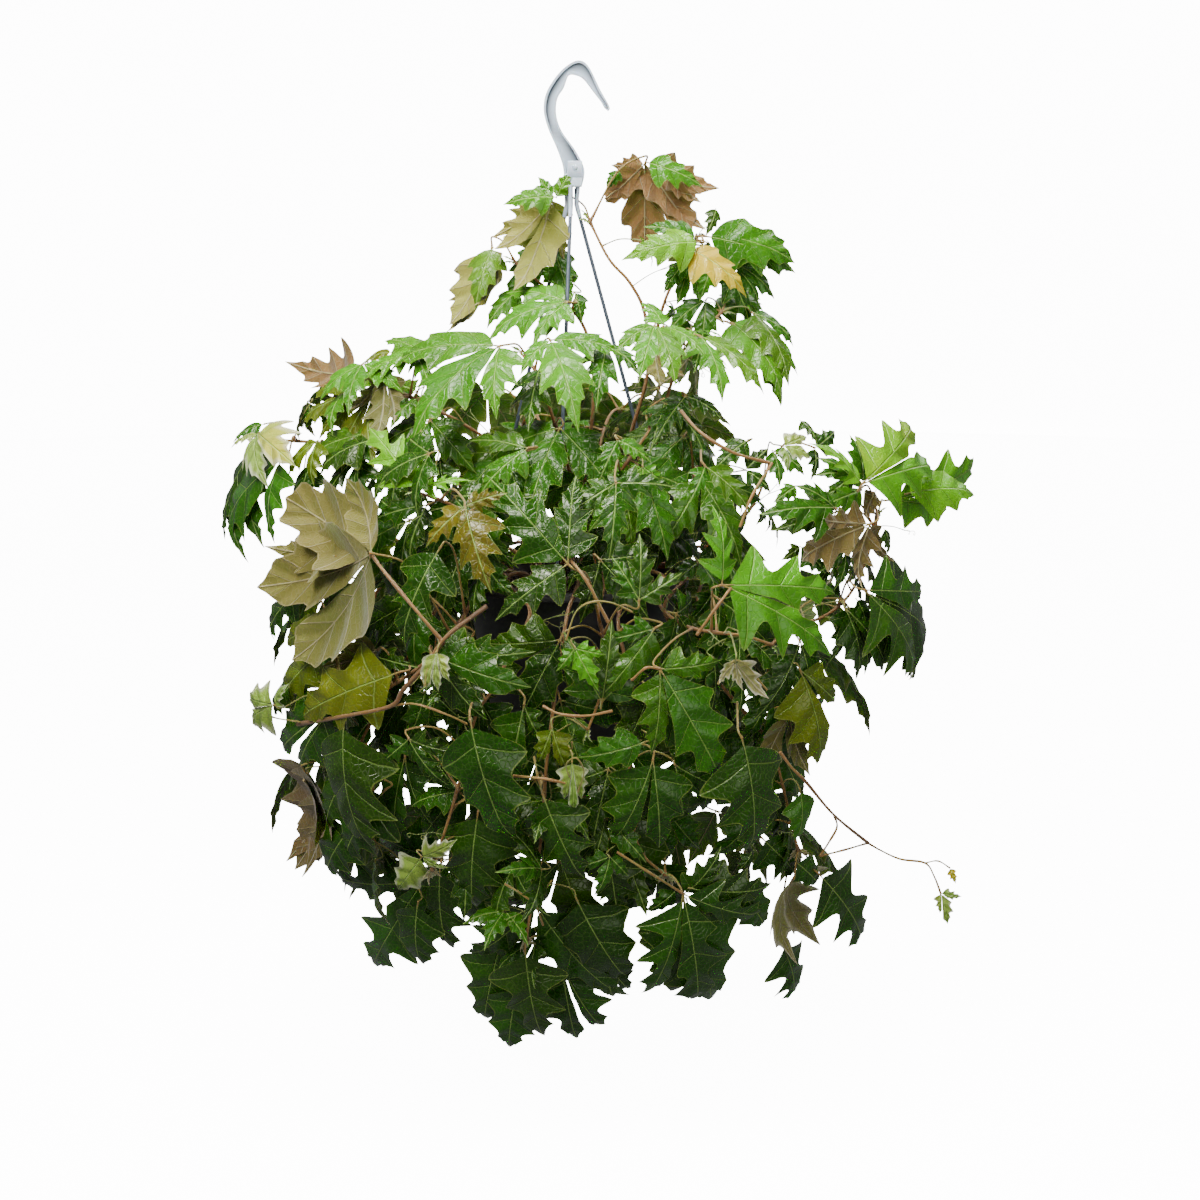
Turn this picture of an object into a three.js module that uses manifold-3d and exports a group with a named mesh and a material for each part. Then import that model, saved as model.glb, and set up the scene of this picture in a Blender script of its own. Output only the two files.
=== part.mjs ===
// Grape ivy in a plastic hanging pot: pot, soil, hook, three strands and the leafy stems.
// Millimetres, +Z up, front towards -Y. The origin is the seat of the hook, where it hangs on its bar.

import * as THREE from 'three';
import { mergeVertices } from 'three/addons/utils/BufferGeometryUtils.js';
import Module from 'manifold-3d';

const wasm = await Module();
wasm.setup();

// ---------------------------------------------------------------- driving dimensions

// Pot: a tapered shell with a turned-out rim that carries three strand slots.
const RIM_RADIUS = 105;
const RIM_TOP = -440;
const RIM_SKIRT = 7;
const POT_NECK_RADIUS = 97;
const POT_BASE_RADIUS = 68;
const POT_HEIGHT = 150;
const POT_WALL = 2;
const POT_FLOOR = 3;
const POT_SIDES = 32;
const DRAIN_HOLES = 4;
const DRAIN_RADIUS = 4;
const DRAIN_CIRCLE = 44;

// Soil: peat filled to just under the rim, with a plain hole for each stem.
const SOIL_TOP = -452;
const SOIL_CROWN = 5;
const SOIL_SIDES = 24;
const HOLE_DEPTH = 26;
const HOLE_HALF_WIDTH = 4.2;

// Hook: a channelled bar, widened into the block that holds the strands.
const HOOK_THICKNESS = 7;
const HOOK_GROOVE = 2.3;
const HOOK_RIB = 2.2;
const BLOCK_BOTTOM = -104;
const BLOCK_TOP = -92;
const BLOCK_WIDTH = 18;
const BLOCK_DEPTH = 15;

// Strands: round bars from the block to the rim, each with a clip under the rim.
const STRAND_RADIUS = 1.65;
const STRAND_SIDES = 6;
const STRAND_BEARINGS = { left: -127, front: -7, right: 114 };
const STRAND_HUB_RADIUS = 4.6;
const STRAND_SLOT_RADIUS = 100;
const STRAND_TUCK = 7;
const CLIP_WIDTH = 8;
const CLIP_HEIGHT = 4;
const CLIP_DEPTH = 3.6;

// Plant.
const BLADE_THICKNESS = 0.8;
const STEM_RADIUS = 2.3;
const PETIOLE_RADIUS = 1.3;
const FIT = 0.35;

// ---------------------------------------------------------------- helpers for solids

const DEGREE = Math.PI / 180;
const UP = new THREE.Vector3(0, 0, 1);

function material(color, roughness) {
  return new THREE.MeshStandardMaterial({ color, roughness, metalness: 0, side: THREE.DoubleSide });
}

// A closed geometry as a solid, with its shared vertices merged.
function solidOf(geometry) {
  const bare = geometry.clone();
  for (const name of Object.keys(bare.attributes)) {
    if (name !== 'position') bare.deleteAttribute(name);
  }
  const merged = mergeVertices(bare, 1e-4);
  return new wasm.Manifold(new wasm.Mesh({
    numProp: 3,
    vertProperties: new Float32Array(merged.attributes.position.array),
    triVerts: new Uint32Array(merged.index.array),
  }));
}

function geometryOf(solid) {
  const mesh = solid.getMesh();
  const geometry = new THREE.BufferGeometry();
  geometry.setAttribute('position', new THREE.BufferAttribute(new Float32Array(mesh.vertProperties), 3));
  geometry.setIndex(new THREE.BufferAttribute(new Uint32Array(mesh.triVerts), 1));
  geometry.computeVertexNormals();
  return geometry;
}

function union(solids) {
  return solids.reduce((whole, solid) => whole.add(solid));
}

function block(width, depth, height, x, y, z, turn = 0) {
  const geometry = new THREE.BoxGeometry(width, depth, height);
  geometry.rotateZ(turn);
  geometry.translate(x, y, z);
  return solidOf(geometry);
}

function rod(radius, height, sides, x, y, z) {
  const geometry = new THREE.CylinderGeometry(radius, radius, height, sides);
  geometry.rotateX(Math.PI / 2);
  geometry.translate(x, y, z);
  return solidOf(geometry);
}

// A lathe about the Z axis from a profile of [radius, z] points.
function turned(profile, sides) {
  const geometry = new THREE.LatheGeometry(profile.map(([r, z]) => new THREE.Vector2(r, z)), sides);
  geometry.rotateX(Math.PI / 2);
  const solid = solidOf(geometry);
  return solid.volume() > 0 ? solid : solidOf(flipped(geometry));
}

function flipped(geometry) {
  const turnedGeometry = geometry.clone();
  const index = turnedGeometry.index.array;
  for (let i = 0; i < index.length; i += 3) {
    const first = index[i];
    index[i] = index[i + 1];
    index[i + 1] = first;
  }
  return turnedGeometry;
}

// A bar of regular section swept along a curve.
function swept(curve, radius, sides, steps) {
  const section = new THREE.Shape();
  for (let side = 0; side < sides; side += 1) {
    const angle = (2 * Math.PI * side) / sides;
    const corner = [radius * Math.cos(angle), radius * Math.sin(angle)];
    if (side === 0) section.moveTo(...corner);
    else section.lineTo(...corner);
  }
  return solidOf(new THREE.ExtrudeGeometry(section, { steps, bevelEnabled: false, extrudePath: curve }));
}

function onBearing(bearing, radius, z) {
  const angle = bearing * DEGREE;
  return new THREE.Vector3(radius * Math.sin(angle), -radius * Math.cos(angle), z);
}

// ---------------------------------------------------------------- pot

function makePot() {
  const base = RIM_TOP - POT_HEIGHT;
  const underRim = RIM_TOP - POT_WALL;
  let pot = turned([
    [0, base],
    [POT_BASE_RADIUS, base],
    [POT_NECK_RADIUS, underRim],
    [RIM_RADIUS - POT_WALL, underRim],
    [RIM_RADIUS - POT_WALL, RIM_TOP - RIM_SKIRT],
    [RIM_RADIUS, RIM_TOP - RIM_SKIRT],
    [RIM_RADIUS, RIM_TOP],
    [POT_NECK_RADIUS - POT_WALL, RIM_TOP],
    [POT_BASE_RADIUS - POT_WALL, base + POT_FLOOR],
    [0, base + POT_FLOOR],
  ], POT_SIDES);
  for (let hole = 0; hole < DRAIN_HOLES; hole += 1) {
    const at = onBearing(45 + (360 * hole) / DRAIN_HOLES, DRAIN_CIRCLE, base);
    pot = pot.subtract(rod(DRAIN_RADIUS, 4 * POT_FLOOR, 8, at.x, at.y, at.z));
  }
  for (const bearing of Object.values(STRAND_BEARINGS)) {
    const at = onBearing(bearing, STRAND_SLOT_RADIUS, RIM_TOP);
    const slot = 2 * (STRAND_RADIUS + FIT);
    pot = pot.subtract(block(slot, slot, 3 * POT_WALL, at.x, at.y, at.z, bearing * DEGREE));
  }
  return pot;
}

// ---------------------------------------------------------------- soil

function potInnerRadius(z) {
  const base = RIM_TOP - POT_HEIGHT;
  const rise = (z - base - POT_FLOOR) / (POT_HEIGHT - POT_FLOOR);
  return THREE.MathUtils.lerp(POT_BASE_RADIUS - POT_WALL, POT_NECK_RADIUS - POT_WALL, rise);
}

function makeSoil(roots) {
  const bottom = RIM_TOP - POT_HEIGHT + POT_FLOOR + FIT;
  const gap = FIT + potInnerRadius(SOIL_TOP) * (1 - Math.cos(Math.PI / POT_SIDES));
  let soil = turned([
    [0, bottom],
    [potInnerRadius(bottom) - gap, bottom],
    [potInnerRadius(SOIL_TOP) - gap, SOIL_TOP],
    [66, SOIL_TOP + 0.6 * SOIL_CROWN],
    [30, SOIL_TOP + SOIL_CROWN],
    [0, SOIL_TOP + SOIL_CROWN],
  ], SOIL_SIDES);
  for (const root of roots) {
    soil = soil.subtract(block(2 * HOLE_HALF_WIDTH, 2 * HOLE_HALF_WIDTH, 4 * HOLE_DEPTH,
      root.x, root.y, SOIL_TOP - HOLE_DEPTH + 2 * HOLE_DEPTH));
  }
  return soil;
}

// ---------------------------------------------------------------- hook and strands

// Outer and inner edges of the hook, [x, z], from the shank up over the seat to the tip.
const HOOK_OUTER = [[-8, -76], [-13, -62], [-20.5, -45], [-24, -30], [-22, -16], [-14.5, -3], [-5, 7],
  [6, 12.5], [15, 7.5], [25, -12], [33.5, -27.5], [32, -31.5]];
const HOOK_INNER = [[26, -23.5], [19.5, -15], [11, -4], [5, -0.6], [-2, -0.6], [-6, -11], [-12, -20],
  [-13.2, -29], [-12.5, -38], [-8, -48], [2.4, -62], [6, -68], [10.5, -78]];

function extrudedXZ(points, thickness, y) {
  const outline = new THREE.Shape(points.map(([x, z]) => new THREE.Vector2(x, z)));
  const geometry = new THREE.ExtrudeGeometry(outline, { depth: thickness, steps: 1, bevelEnabled: false });
  geometry.rotateX(Math.PI / 2);
  geometry.translate(0, y + thickness / 2, 0);
  return solidOf(geometry);
}

// The edge points moved inwards by one rib, towards the other edge of the bar.
function ribInset(edge, other, count) {
  const near = edge.slice(0, count);
  return near.map(([x, z]) => {
    let best = other[0];
    for (const point of other) {
      if (Math.hypot(point[0] - x, point[1] - z) < Math.hypot(best[0] - x, best[1] - z)) best = point;
    }
    const far = Math.hypot(best[0] - x, best[1] - z);
    return [x + (HOOK_RIB * (best[0] - x)) / far, z + (HOOK_RIB * (best[1] - z)) / far];
  });
}

function makeHook() {
  const shank = [[11.5, -86], [9, -96], [-6, -96], [-6.5, -86]];
  let hook = extrudedXZ([...HOOK_OUTER, ...HOOK_INNER, ...shank], HOOK_THICKNESS, 0);
  const innerUp = [...HOOK_INNER].reverse();
  const groove = [
    ...ribInset(HOOK_OUTER.slice(1), HOOK_INNER, HOOK_OUTER.length - 3),
    ...ribInset(innerUp.slice(1), HOOK_OUTER, innerUp.length - 3).reverse(),
  ];
  for (const side of [-1, 1]) {
    hook = hook.subtract(extrudedXZ(groove, 2 * HOOK_GROOVE, (side * HOOK_THICKNESS) / 2));
  }
  hook = hook.add(block(BLOCK_WIDTH, BLOCK_DEPTH, BLOCK_TOP - BLOCK_BOTTOM, 0, 0,
    (BLOCK_TOP + BLOCK_BOTTOM) / 2));
  for (const bearing of Object.values(STRAND_BEARINGS)) {
    const at = onBearing(bearing, STRAND_HUB_RADIUS, BLOCK_BOTTOM);
    hook = hook.subtract(rod(STRAND_RADIUS + 2 * FIT, 2 * (STRAND_TUCK + FIT), 8, at.x, at.y, at.z));
  }
  return hook;
}

// A straight stub in the block, a long straight run and a straight foot in the rim, with a clip under it.
function makeStrand(bearing) {
  const points = [
    [STRAND_HUB_RADIUS, BLOCK_BOTTOM + STRAND_TUCK],
    [STRAND_HUB_RADIUS, BLOCK_BOTTOM - STRAND_TUCK],
    [STRAND_SLOT_RADIUS, RIM_TOP + STRAND_TUCK],
    [STRAND_SLOT_RADIUS, RIM_TOP - RIM_SKIRT + 1],
  ].map(([radius, z]) => onBearing(bearing, radius, z));
  const bars = [1, 2, 3].map((i) => {
    return swept(new THREE.LineCurve3(points[i - 1], points[i]), STRAND_RADIUS, STRAND_SIDES, 1);
  });
  const foot = onBearing(bearing, STRAND_SLOT_RADIUS, RIM_TOP - POT_WALL - FIT - CLIP_HEIGHT / 2);
  const clip = block(CLIP_WIDTH, CLIP_DEPTH, CLIP_HEIGHT, foot.x, foot.y, foot.z, bearing * DEGREE);
  return union([...bars, clip]);
}

// ---------------------------------------------------------------- setting out the plant

// Stems and leaves are set out on a square elevation sheet, as seen from EYE_DISTANCE in front of the
// sheet's centre and EYE_RISE above level. A station is [across, down] on the sheet and a depth in mm
// behind the hook's axis.
const SHEET = 1200;
const SHEET_UNIT = 0.9;
const SHEET_CENTRE = new THREE.Vector3(25, 0, -463);
const EYE_DISTANCE = 2300;
const EYE_RISE = 10 * DEGREE;

function station(across, down, depth) {
  const x = (across - SHEET / 2) * SHEET_UNIT;
  const y = (SHEET / 2 - down) * SHEET_UNIT;
  const level = EYE_DISTANCE * Math.cos(EYE_RISE);
  const height = EYE_DISTANCE * Math.sin(EYE_RISE);
  const t = (depth + level) / (level + y * Math.sin(EYE_RISE));
  return new THREE.Vector3(
    SHEET_CENTRE.x + t * x,
    depth,
    SHEET_CENTRE.z + height + t * (y * Math.cos(EYE_RISE) - height),
  );
}

// The crown of leaves: [down on the sheet, half width in sheet units, half depth in mm].
const CROWN_AXIS = 580;
const CROWN = [[150, 120, 10], [250, 180, 35], [320, 215, 75], [380, 260, 135], [440, 320, 185],
  [520, 350, 220], [600, 350, 235], [700, 340, 235], [800, 310, 210], [900, 260, 165], [1000, 190, 105],
  [1060, 120, 60]];

function crownAt(down) {
  const last = CROWN.length - 1;
  if (down <= CROWN[0][0]) return CROWN[0].slice(1);
  for (let i = 1; i <= last; i += 1) {
    if (down <= CROWN[i][0]) {
      const t = (down - CROWN[i - 1][0]) / (CROWN[i][0] - CROWN[i - 1][0]);
      return [1, 2].map((k) => THREE.MathUtils.lerp(CROWN[i - 1][k], CROWN[i][k], t));
    }
  }
  return CROWN[last].slice(1);
}

function crownFront(across, down) {
  const [halfWidth, halfDepth] = crownAt(down);
  const reach = Math.min(1, Math.abs(across - CROWN_AXIS) / halfWidth);
  return -halfDepth * Math.sqrt(1 - reach * reach);
}

// ---------------------------------------------------------------- leaves

// Half outlines of a leaflet, [along, across] in leaflet lengths, from the foot to just before the tip,
// cut deep between pointed lobes: the free side, and the slimmer side that faces a neighbour.
const CUT = {
  free: [[0.3, 0.35], [0.41, 0.15], [0.63, 0.27], [0.7, 0.1]],
  facing: [[0.37, 0.22]],
};
const PLAIN = {
  free: [[0.34, 0.31], [0.55, 0.12]],
  facing: [[0.38, 0.2]],
};
const SMALL_LEAFLET = 52;
const NOTCH = 0.16;
const FACING_SHARE = 0.8;
const SPINE = 0.48;
const ARCH = 0.11;
const FOLD = 0.14;

// The way that a leaf points, square to its normal: the mean of its leaflets.
function aheadOf(foot, tips, normal) {
  const ahead = new THREE.Vector3();
  for (const tip of tips) ahead.add(tip.clone().sub(foot).normalize());
  return ahead.projectOnPlane(normal).normalize();
}

// The leaflets of a leaf, put in order round its normal.
function ribsOf(foot, tips, normal) {
  const ahead = aheadOf(foot, tips, normal);
  const ribs = tips.map((tip) => {
    const along = tip.clone().sub(foot);
    const length = along.length();
    const up = normal.clone().projectOnPlane(along.clone().normalize()).normalize();
    const across = up.clone().cross(along).normalize();
    const turn = Math.atan2(normal.dot(ahead.clone().cross(along)), ahead.dot(along));
    return { along, length, up, across, turn };
  });
  return ribs.sort((one, other) => one.turn - other.turn);
}

// A point of a leaflet's arched and folded face, u along its rib and v across it.
function onLeaflet(foot, rib, u, v) {
  const rise = 4 * ARCH * u * (1 - u) - FOLD * Math.abs(v);
  return foot.clone()
    .addScaledVector(rib.along, u)
    .addScaledVector(rib.across, v * rib.length)
    .addScaledVector(rib.up, rise * rib.length);
}

// One side of a leaflet. Where it faces a neighbour it stays within its share of the angle between them.
function sideOf(foot, rib, neighbour, side, edges) {
  if (neighbour === undefined) {
    const free = rib.length < SMALL_LEAFLET ? PLAIN.free : edges.free;
    return free.map(([u, v]) => onLeaflet(foot, rib, u, side * v));
  }
  const slope = FACING_SHARE * Math.tan(rib.along.angleTo(neighbour.along) / 2);
  return edges.facing.map(([u, v]) => onLeaflet(foot, rib, u, side * Math.min(v, u * slope)));
}

// The three corners of a stalk where it is cut across: above, right below and left below.
function stalkRing(centre, ahead, normal, radius) {
  const up = normal.clone().projectOnPlane(ahead).normalize();
  const left = up.clone().cross(ahead);
  return [[1, 0], [-0.5, -0.87], [-0.5, 0.87]].map(([rise, side]) => {
    return centre.clone().addScaledVector(up, radius * rise).addScaledVector(left, radius * side);
  });
}

// The skin over a stalk's rings, from the leaf's end on, [corner numbers], and the cap on the last ring.
function stalkSkin(rings) {
  const skin = [];
  for (let i = 1; i < rings.length; i += 1) {
    const [near, far] = [rings[i - 1], rings[i]];
    for (let j = 0; j < 3; j += 1) {
      const k = (j + 1) % 3;
      skin.push(near[k], near[j], far[j], near[k], far[j], far[k]);
    }
  }
  const last = rings[rings.length - 1];
  skin.push(last[0], last[2], last[1]);
  return skin;
}

// A leaf of one to three leaflets in one thin closed shell, cut to the foot between them, that runs on from
// its foot into its stalk's rings, if it is given any.
function leafSolid(leaf, stalk) {
  const { foot, tips, normal, edges } = leaf;
  const ribs = ribsOf(foot, tips, normal);
  const points = [foot];
  const fans = [];
  const rim = [];
  let entry = null;
  ribs.forEach((rib, i) => {
    const ring = entry === null ? [0] : [0, entry];
    const add = (point) => ring.push(points.push(point) - 1);
    sideOf(foot, rib, ribs[i - 1], -1, edges).forEach(add);
    add(onLeaflet(foot, rib, 1, 0));
    sideOf(foot, rib, ribs[i + 1], 1, edges).reverse().forEach(add);
    if (i + 1 < ribs.length) {
      const between = rib.along.clone().normalize().add(ribs[i + 1].along.clone().normalize());
      const reach = NOTCH * Math.min(rib.length, ribs[i + 1].length);
      add(foot.clone().add(between.setLength(reach)));
    }
    const spine = points.push(onLeaflet(foot, rib, SPINE, 0)) - 1;
    ring.forEach((corner, k) => {
      const next = ring[(k + 1) % ring.length];
      const inner = (corner === 0 && next === entry) || (next === 0 && i + 1 < ribs.length);
      fans.push([spine, corner, next]);
      if (!inner) rim.push([corner, next]);
    });
    entry = i + 1 < ribs.length ? ring[ring.length - 1] : null;
  });

  // Below the foot the underside has two corners, right and left, which the stalk's first ring shares.
  const below = points.length;
  const lower = points.map((point) => point.clone().addScaledVector(normal, -BLADE_THICKNESS));
  const [, right, left] = stalkRing(foot.clone().addScaledVector(normal, -PETIOLE_RADIUS),
    aheadOf(foot, tips, normal), normal, PETIOLE_RADIUS);
  lower[0] = right;
  const leftCorner = below + lower.length;
  const [lastSpine, lastCorner] = fans[fans.length - 1];
  const index = fans.flat();
  for (const [spine, corner, next] of fans.slice(0, -1)) {
    index.push(below + spine, below + next, below + corner);
  }
  index.push(below + lastSpine, leftCorner, below + lastCorner, below + lastSpine, below, leftCorner);
  for (const [from, to] of rim) {
    const underTo = to === 0 ? leftCorner : below + to;
    index.push(below + from, underTo, to, below + from, to, from);
  }
  const corners = [...points, ...lower, left];
  const rings = [[0, below, leftCorner]];
  for (const ring of stalk) rings.push(ring.map((corner) => corners.push(corner) - 1));
  const geometry = new THREE.BufferGeometry().setFromPoints(corners);
  geometry.setIndex([...index, ...stalkSkin(rings)]);
  return solidOf(geometry);
}

// The outward face of the crown at a station, tipped up towards the light.
function crownNormal(across, down) {
  const step = 20;
  const at = (x, y) => station(x, y, crownFront(x, y));
  const sideways = at(across + step, down).sub(at(across - step, down));
  const upward = at(across, down - step).sub(at(across, down + step));
  return sideways.cross(upward).normalize().addScaledVector(UP, LIGHTWARD).normalize();
}

// The normal of a leaf: the planes between its leaflets, drawn towards the direction that it should face.
function leafNormal(foot, tips, facing) {
  const normal = facing.clone().multiplyScalar(FACING_PULL);
  for (let i = 1; i < tips.length; i += 1) {
    const plane = tips[i - 1].clone().sub(foot).cross(tips[i].clone().sub(foot)).normalize();
    normal.addScaledVector(plane, Math.sign(plane.dot(facing)) || 1);
  }
  return normal.normalize();
}

const LIGHTWARD = 0.25;
const FACING_PULL = 0.6;

// The three tips of a whole leaf from that of its middle leaflet, the side ones drooping.
const SIDE_TURN = 56 * DEGREE;
const SIDE_LENGTH = 0.84;
const SIDE_DROOP = 0.16;

function wholeTips(foot, tip, facing) {
  const along = tip.clone().sub(foot);
  const up = facing.clone().projectOnPlane(along.clone().normalize()).normalize();
  return [SIDE_TURN, 0, -SIDE_TURN].map((turn) => {
    if (turn === 0) return tip;
    const side = along.clone().applyAxisAngle(up, turn).multiplyScalar(SIDE_LENGTH);
    return foot.clone().add(side).addScaledVector(up, -SIDE_DROOP * along.length());
  });
}

// A leaf stalk runs from its stem in a bow to a knee behind and below the leaf's foot. It turns without a
// twist, however sharply it bends.
const BOWS = [[0, 0, 0.2], [0, -0.2, 0.1], [0.2, 0, 0.05], [-0.2, 0, 0.05], [0, 0.2, 0.1], [0, 0, -0.15],
  [0, 0, 0.45], [0.4, 0, 0], [-0.4, 0, 0]];
const KNEE_BACK = 7;
const KNEE_DROP = 4;
const SUNK_RADIUS = 0.9;

function stalkRings(start, leaf, bow) {
  const { foot, tips, normal } = leaf;
  const ahead = aheadOf(foot, tips, normal);
  const knee = foot.clone().addScaledVector(ahead, -KNEE_BACK).addScaledVector(normal, -KNEE_DROP);
  const middle = start.clone().lerp(knee, 0.5)
    .add(new THREE.Vector3(...bow).multiplyScalar(start.distanceTo(knee)));
  const towards = (from, to) => to.clone().sub(from).normalize();
  const atKnee = towards(middle, knee).add(towards(knee, foot)).normalize();
  const cuts = [
    [knee, atKnee, PETIOLE_RADIUS],
    [middle, towards(start, knee), PETIOLE_RADIUS],
    [start, towards(start, middle), SUNK_RADIUS],
  ];
  const up = normal.clone();
  let before = ahead;
  return cuts.map(([centre, direction, radius]) => {
    up.applyQuaternion(new THREE.Quaternion().setFromUnitVectors(before, direction));
    before = direction;
    return stalkRing(centre, direction, up, radius);
  });
}

// The stalk alone, closed at both ends.
function stalkSolid(rings) {
  const geometry = new THREE.BufferGeometry().setFromPoints(rings.flat());
  geometry.setIndex([0, 1, 2, ...stalkSkin(rings.map((ring, i) => [3 * i, 3 * i + 1, 3 * i + 2]))]);
  return solidOf(geometry);
}

// ---------------------------------------------------------------- shoots

// Each shoot: root [bearing, radius in mm] on the soil, the bearing where it goes over the rim, if it does,
// stem stations [across, down, depth], and its leaves. A leaf is its foot [across, down], how far it lies
// behind the crown's front in mm, the face that it turns outwards, 1 for the upper and -1 for the under
// side, and the tip of each leaflet, [across, down, how much further back]. An inner leaf is a whole one:
// its foot [across, down], how far it lies behind the crown's front, and its middle tip [across, down].
const SHOOTS = [
  {
    name: 'shoot_crown_left', root: [60, 8],
    stem: [[612, 500, 0], [632, 430, 0], [648, 370, 0], [645, 315, 0], [630, 283, 0], [609, 259, 0],
      [590, 222, 5]],
    leaves: [
      [552, 198, 30, -1, [494, 238, 20], [514, 290, 30], [564, 263, 20]],
      [645, 164, 30, -1, [606, 202, 10], [645, 247, 30], [692, 230, 10]],
    ],
  },
  {
    name: 'shoot_upper_left', root: [-75, 14],
    stem: [[578, 500, -20], [592, 420, -20], [592, 360, -15], [580, 320, -10], [548, 290, 0], [515, 262, 10]],
    leaves: [
      [492, 246, 50, -1, [450, 335, 20], [477, 309, -10]],
      [568, 302, 40, 1, [532, 344, 0], [485, 337, 10], [506, 292, 20]],
    ],
  },
  {
    name: 'shoot_crown_right', root: [80, 28],
    stem: [[625, 500, 0], [645, 440, 10], [660, 380, 15], [657, 335, 20], [666, 298, 20], [684, 262, 25],
      [697, 238, 25]],
    leaves: [
      [705, 236, 30, 1, [797, 272, 10]],
      [697, 240, 20, 1, [648, 246, 10]],
      [688, 248, 0, 1, [748, 294, -10]],
      [713, 252, 50, 1, [777, 297, 0], [752, 330, 10]],
    ],
  },
  {
    name: 'shoot_upper_right', root: [45, 38],
    stem: [[640, 510, -40], [652, 460, -40], [664, 410, -40], [676, 370, -35], [694, 340, -25],
      [722, 312, 0]],
    leaves: [
      [664, 326, -20, 1, [641, 300, 20], [705, 352, -10]],
      [700, 336, 10, 1, [724, 398, 0], [766, 390, 0]],
      [728, 322, 40, 1, [783, 403, 0], [801, 372, 10]],
      [712, 312, 70, 1, [764, 302, 0]],
    ],
  },
  {
    name: 'shoot_middle_top', root: [-20, 34],
    stem: [[575, 505, -60], [566, 460, -75], [552, 415, -80], [538, 375, -70], [520, 352, -50]],
    leaves: [
      [500, 346, 0, 1, [494, 412, 0], [408, 436, 0], [386, 362, 0]],
      [550, 340, 0, 1, [624, 352, 0], [578, 424, 0], [520, 372, 0]],
      [540, 368, 60, 1, [528, 430, 0]],
      [607, 345, 20, 1, [640, 374, 0], [596, 408, 0]],
    ],
    inner: [
      [560, 428, 60, 528, 516],
      [505, 452, 70, 452, 520],
    ],
  },
  {
    name: 'shoot_left_high', root: [-100, 36],
    stem: [[535, 500, -10], [505, 455, -25], [465, 425, -35], [420, 402, -35], [385, 385, -25],
      [355, 376, -15]],
    leaves: [
      [354, 372, 20, -1, [293, 366, 20], [326, 403, 30]],
      [384, 372, 20, -1, [350, 412, 20], [374, 442, 20], [396, 424, 20]],
      [417, 353, 20, 1, [432, 388, 0], [358, 380, 0]],
      [350, 412, 60, 1, [296, 420, 0]],
      [373, 432, 50, 1, [355, 478, 0], [302, 462, 0]],
    ],
    inner: [
      [430, 420, 60, 400, 500],
    ],
  },
  {
    name: 'shoot_left_far', root: [-88, 62],
    stem: [[495, 520, 0], [452, 480, -10], [405, 458, -20], [355, 446, -20], [310, 442, -15],
      [278, 440, -10]],
    leaves: [
      [258, 434, 0, 1, [230, 446, 0], [264, 484, 0], [291, 462, 0]],
      [281, 460, 10, 1, [226, 541, 0], [272, 543, 0]],
      [312, 462, 50, 1, [302, 528, 0]],
      [360, 455, 50, 1, [325, 500, 0], [356, 530, 0]],
    ],
  },
  {
    name: 'shoot_left_front', root: [-45, 56], over: -42,
    stem: [[486, 540, -130], [462, 512, -160], [440, 500, -175], [422, 494, -180]],
    leaves: [
      [420, 490, 0, 1, [366, 423, 0], [470, 478, 0]],
      [465, 506, -20, 1, [424, 547, 0], [491, 593, 0], [507, 492, 0]],
      [427, 505, 20, 1, [372, 520, 0], [408, 556, 0]],
      [528, 448, 45, 1, [470, 440, 0], [478, 494, 0]],
    ],
    inner: [
      [470, 540, 60, 440, 620],
      [410, 520, 70, 350, 560],
    ],
  },
  {
    name: 'shoot_left_low', root: [-62, 66], over: -62,
    stem: [[470, 600, -125], [452, 632, -150], [425, 662, -160], [388, 688, -160], [345, 706, -150]],
    leaves: [
      [371, 554, 0, -1, [352, 480, 15], [266, 588, 15], [298, 660, 15]],
      [440, 548, 30, 1, [400, 648, 0]],
      [302, 588, 60, 1, [268, 640, 0]],
      [378, 650, 30, -1, [322, 668, 0]],
      [400, 672, 10, 1, [296, 720, 0]],
      [345, 672, 60, 1, [320, 740, 0]],
      [436, 658, 20, 1, [534, 652, 0], [470, 716, 0]],
    ],
    inner: [
      [420, 600, 70, 352, 640],
      [372, 690, 60, 330, 780],
      [470, 640, 50, 450, 730],
    ],
  },
  {
    name: 'shoot_front_left', root: [-28, 70], over: -28,
    stem: [[530, 610, -150], [512, 650, -165], [492, 690, -175], [476, 715, -180], [464, 765, -178],
      [450, 815, -165], [432, 870, -150]],
    leaves: [
      [470, 720, -10, 1, [514, 846, 0]],
      [478, 812, 20, 1, [474, 912, 0]],
      [409, 739, 10, 1, [382, 762, 0], [448, 786, 0], [459, 752, 0]],
      [405, 757, 40, 1, [397, 842, 0], [432, 826, 0]],
      [440, 866, 40, 1, [452, 953, 0]],
      [424, 880, 60, 1, [326, 872, 0], [372, 970, 0]],
      [524, 705, 30, 1, [508, 790, 0], [543, 742, 0]],
    ],
    inner: [
      [470, 780, 60, 420, 840],
      [450, 860, 60, 400, 930],
    ],
  },
  {
    name: 'shoot_far_left_low', root: [-74, 50], over: -76,
    stem: [[440, 600, -90], [412, 650, -110], [384, 700, -115], [358, 750, -115], [352, 800, -110],
      [372, 840, -100]],
    leaves: [
      [344, 721, 0, 1, [373, 856, 0]],
      [304, 770, 10, -1, [308, 874, 0]],
      [385, 790, 50, 1, [345, 860, 0]],
    ],
  },
  {
    name: 'shoot_front_middle', root: [14, 40], over: 14,
    stem: [[598, 612, -155], [606, 650, -175], [602, 690, -185], [588, 730, -185]],
    leaves: [
      [568, 564, 0, 1, [494, 620, 0], [489, 476, 0], [575, 474, 0]],
      [639, 600, 10, 1, [612, 556, 0], [640, 533, 0], [683, 572, 0]],
      [655, 628, 20, 1, [600, 698, 0], [606, 640, 0]],
    ],
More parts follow.
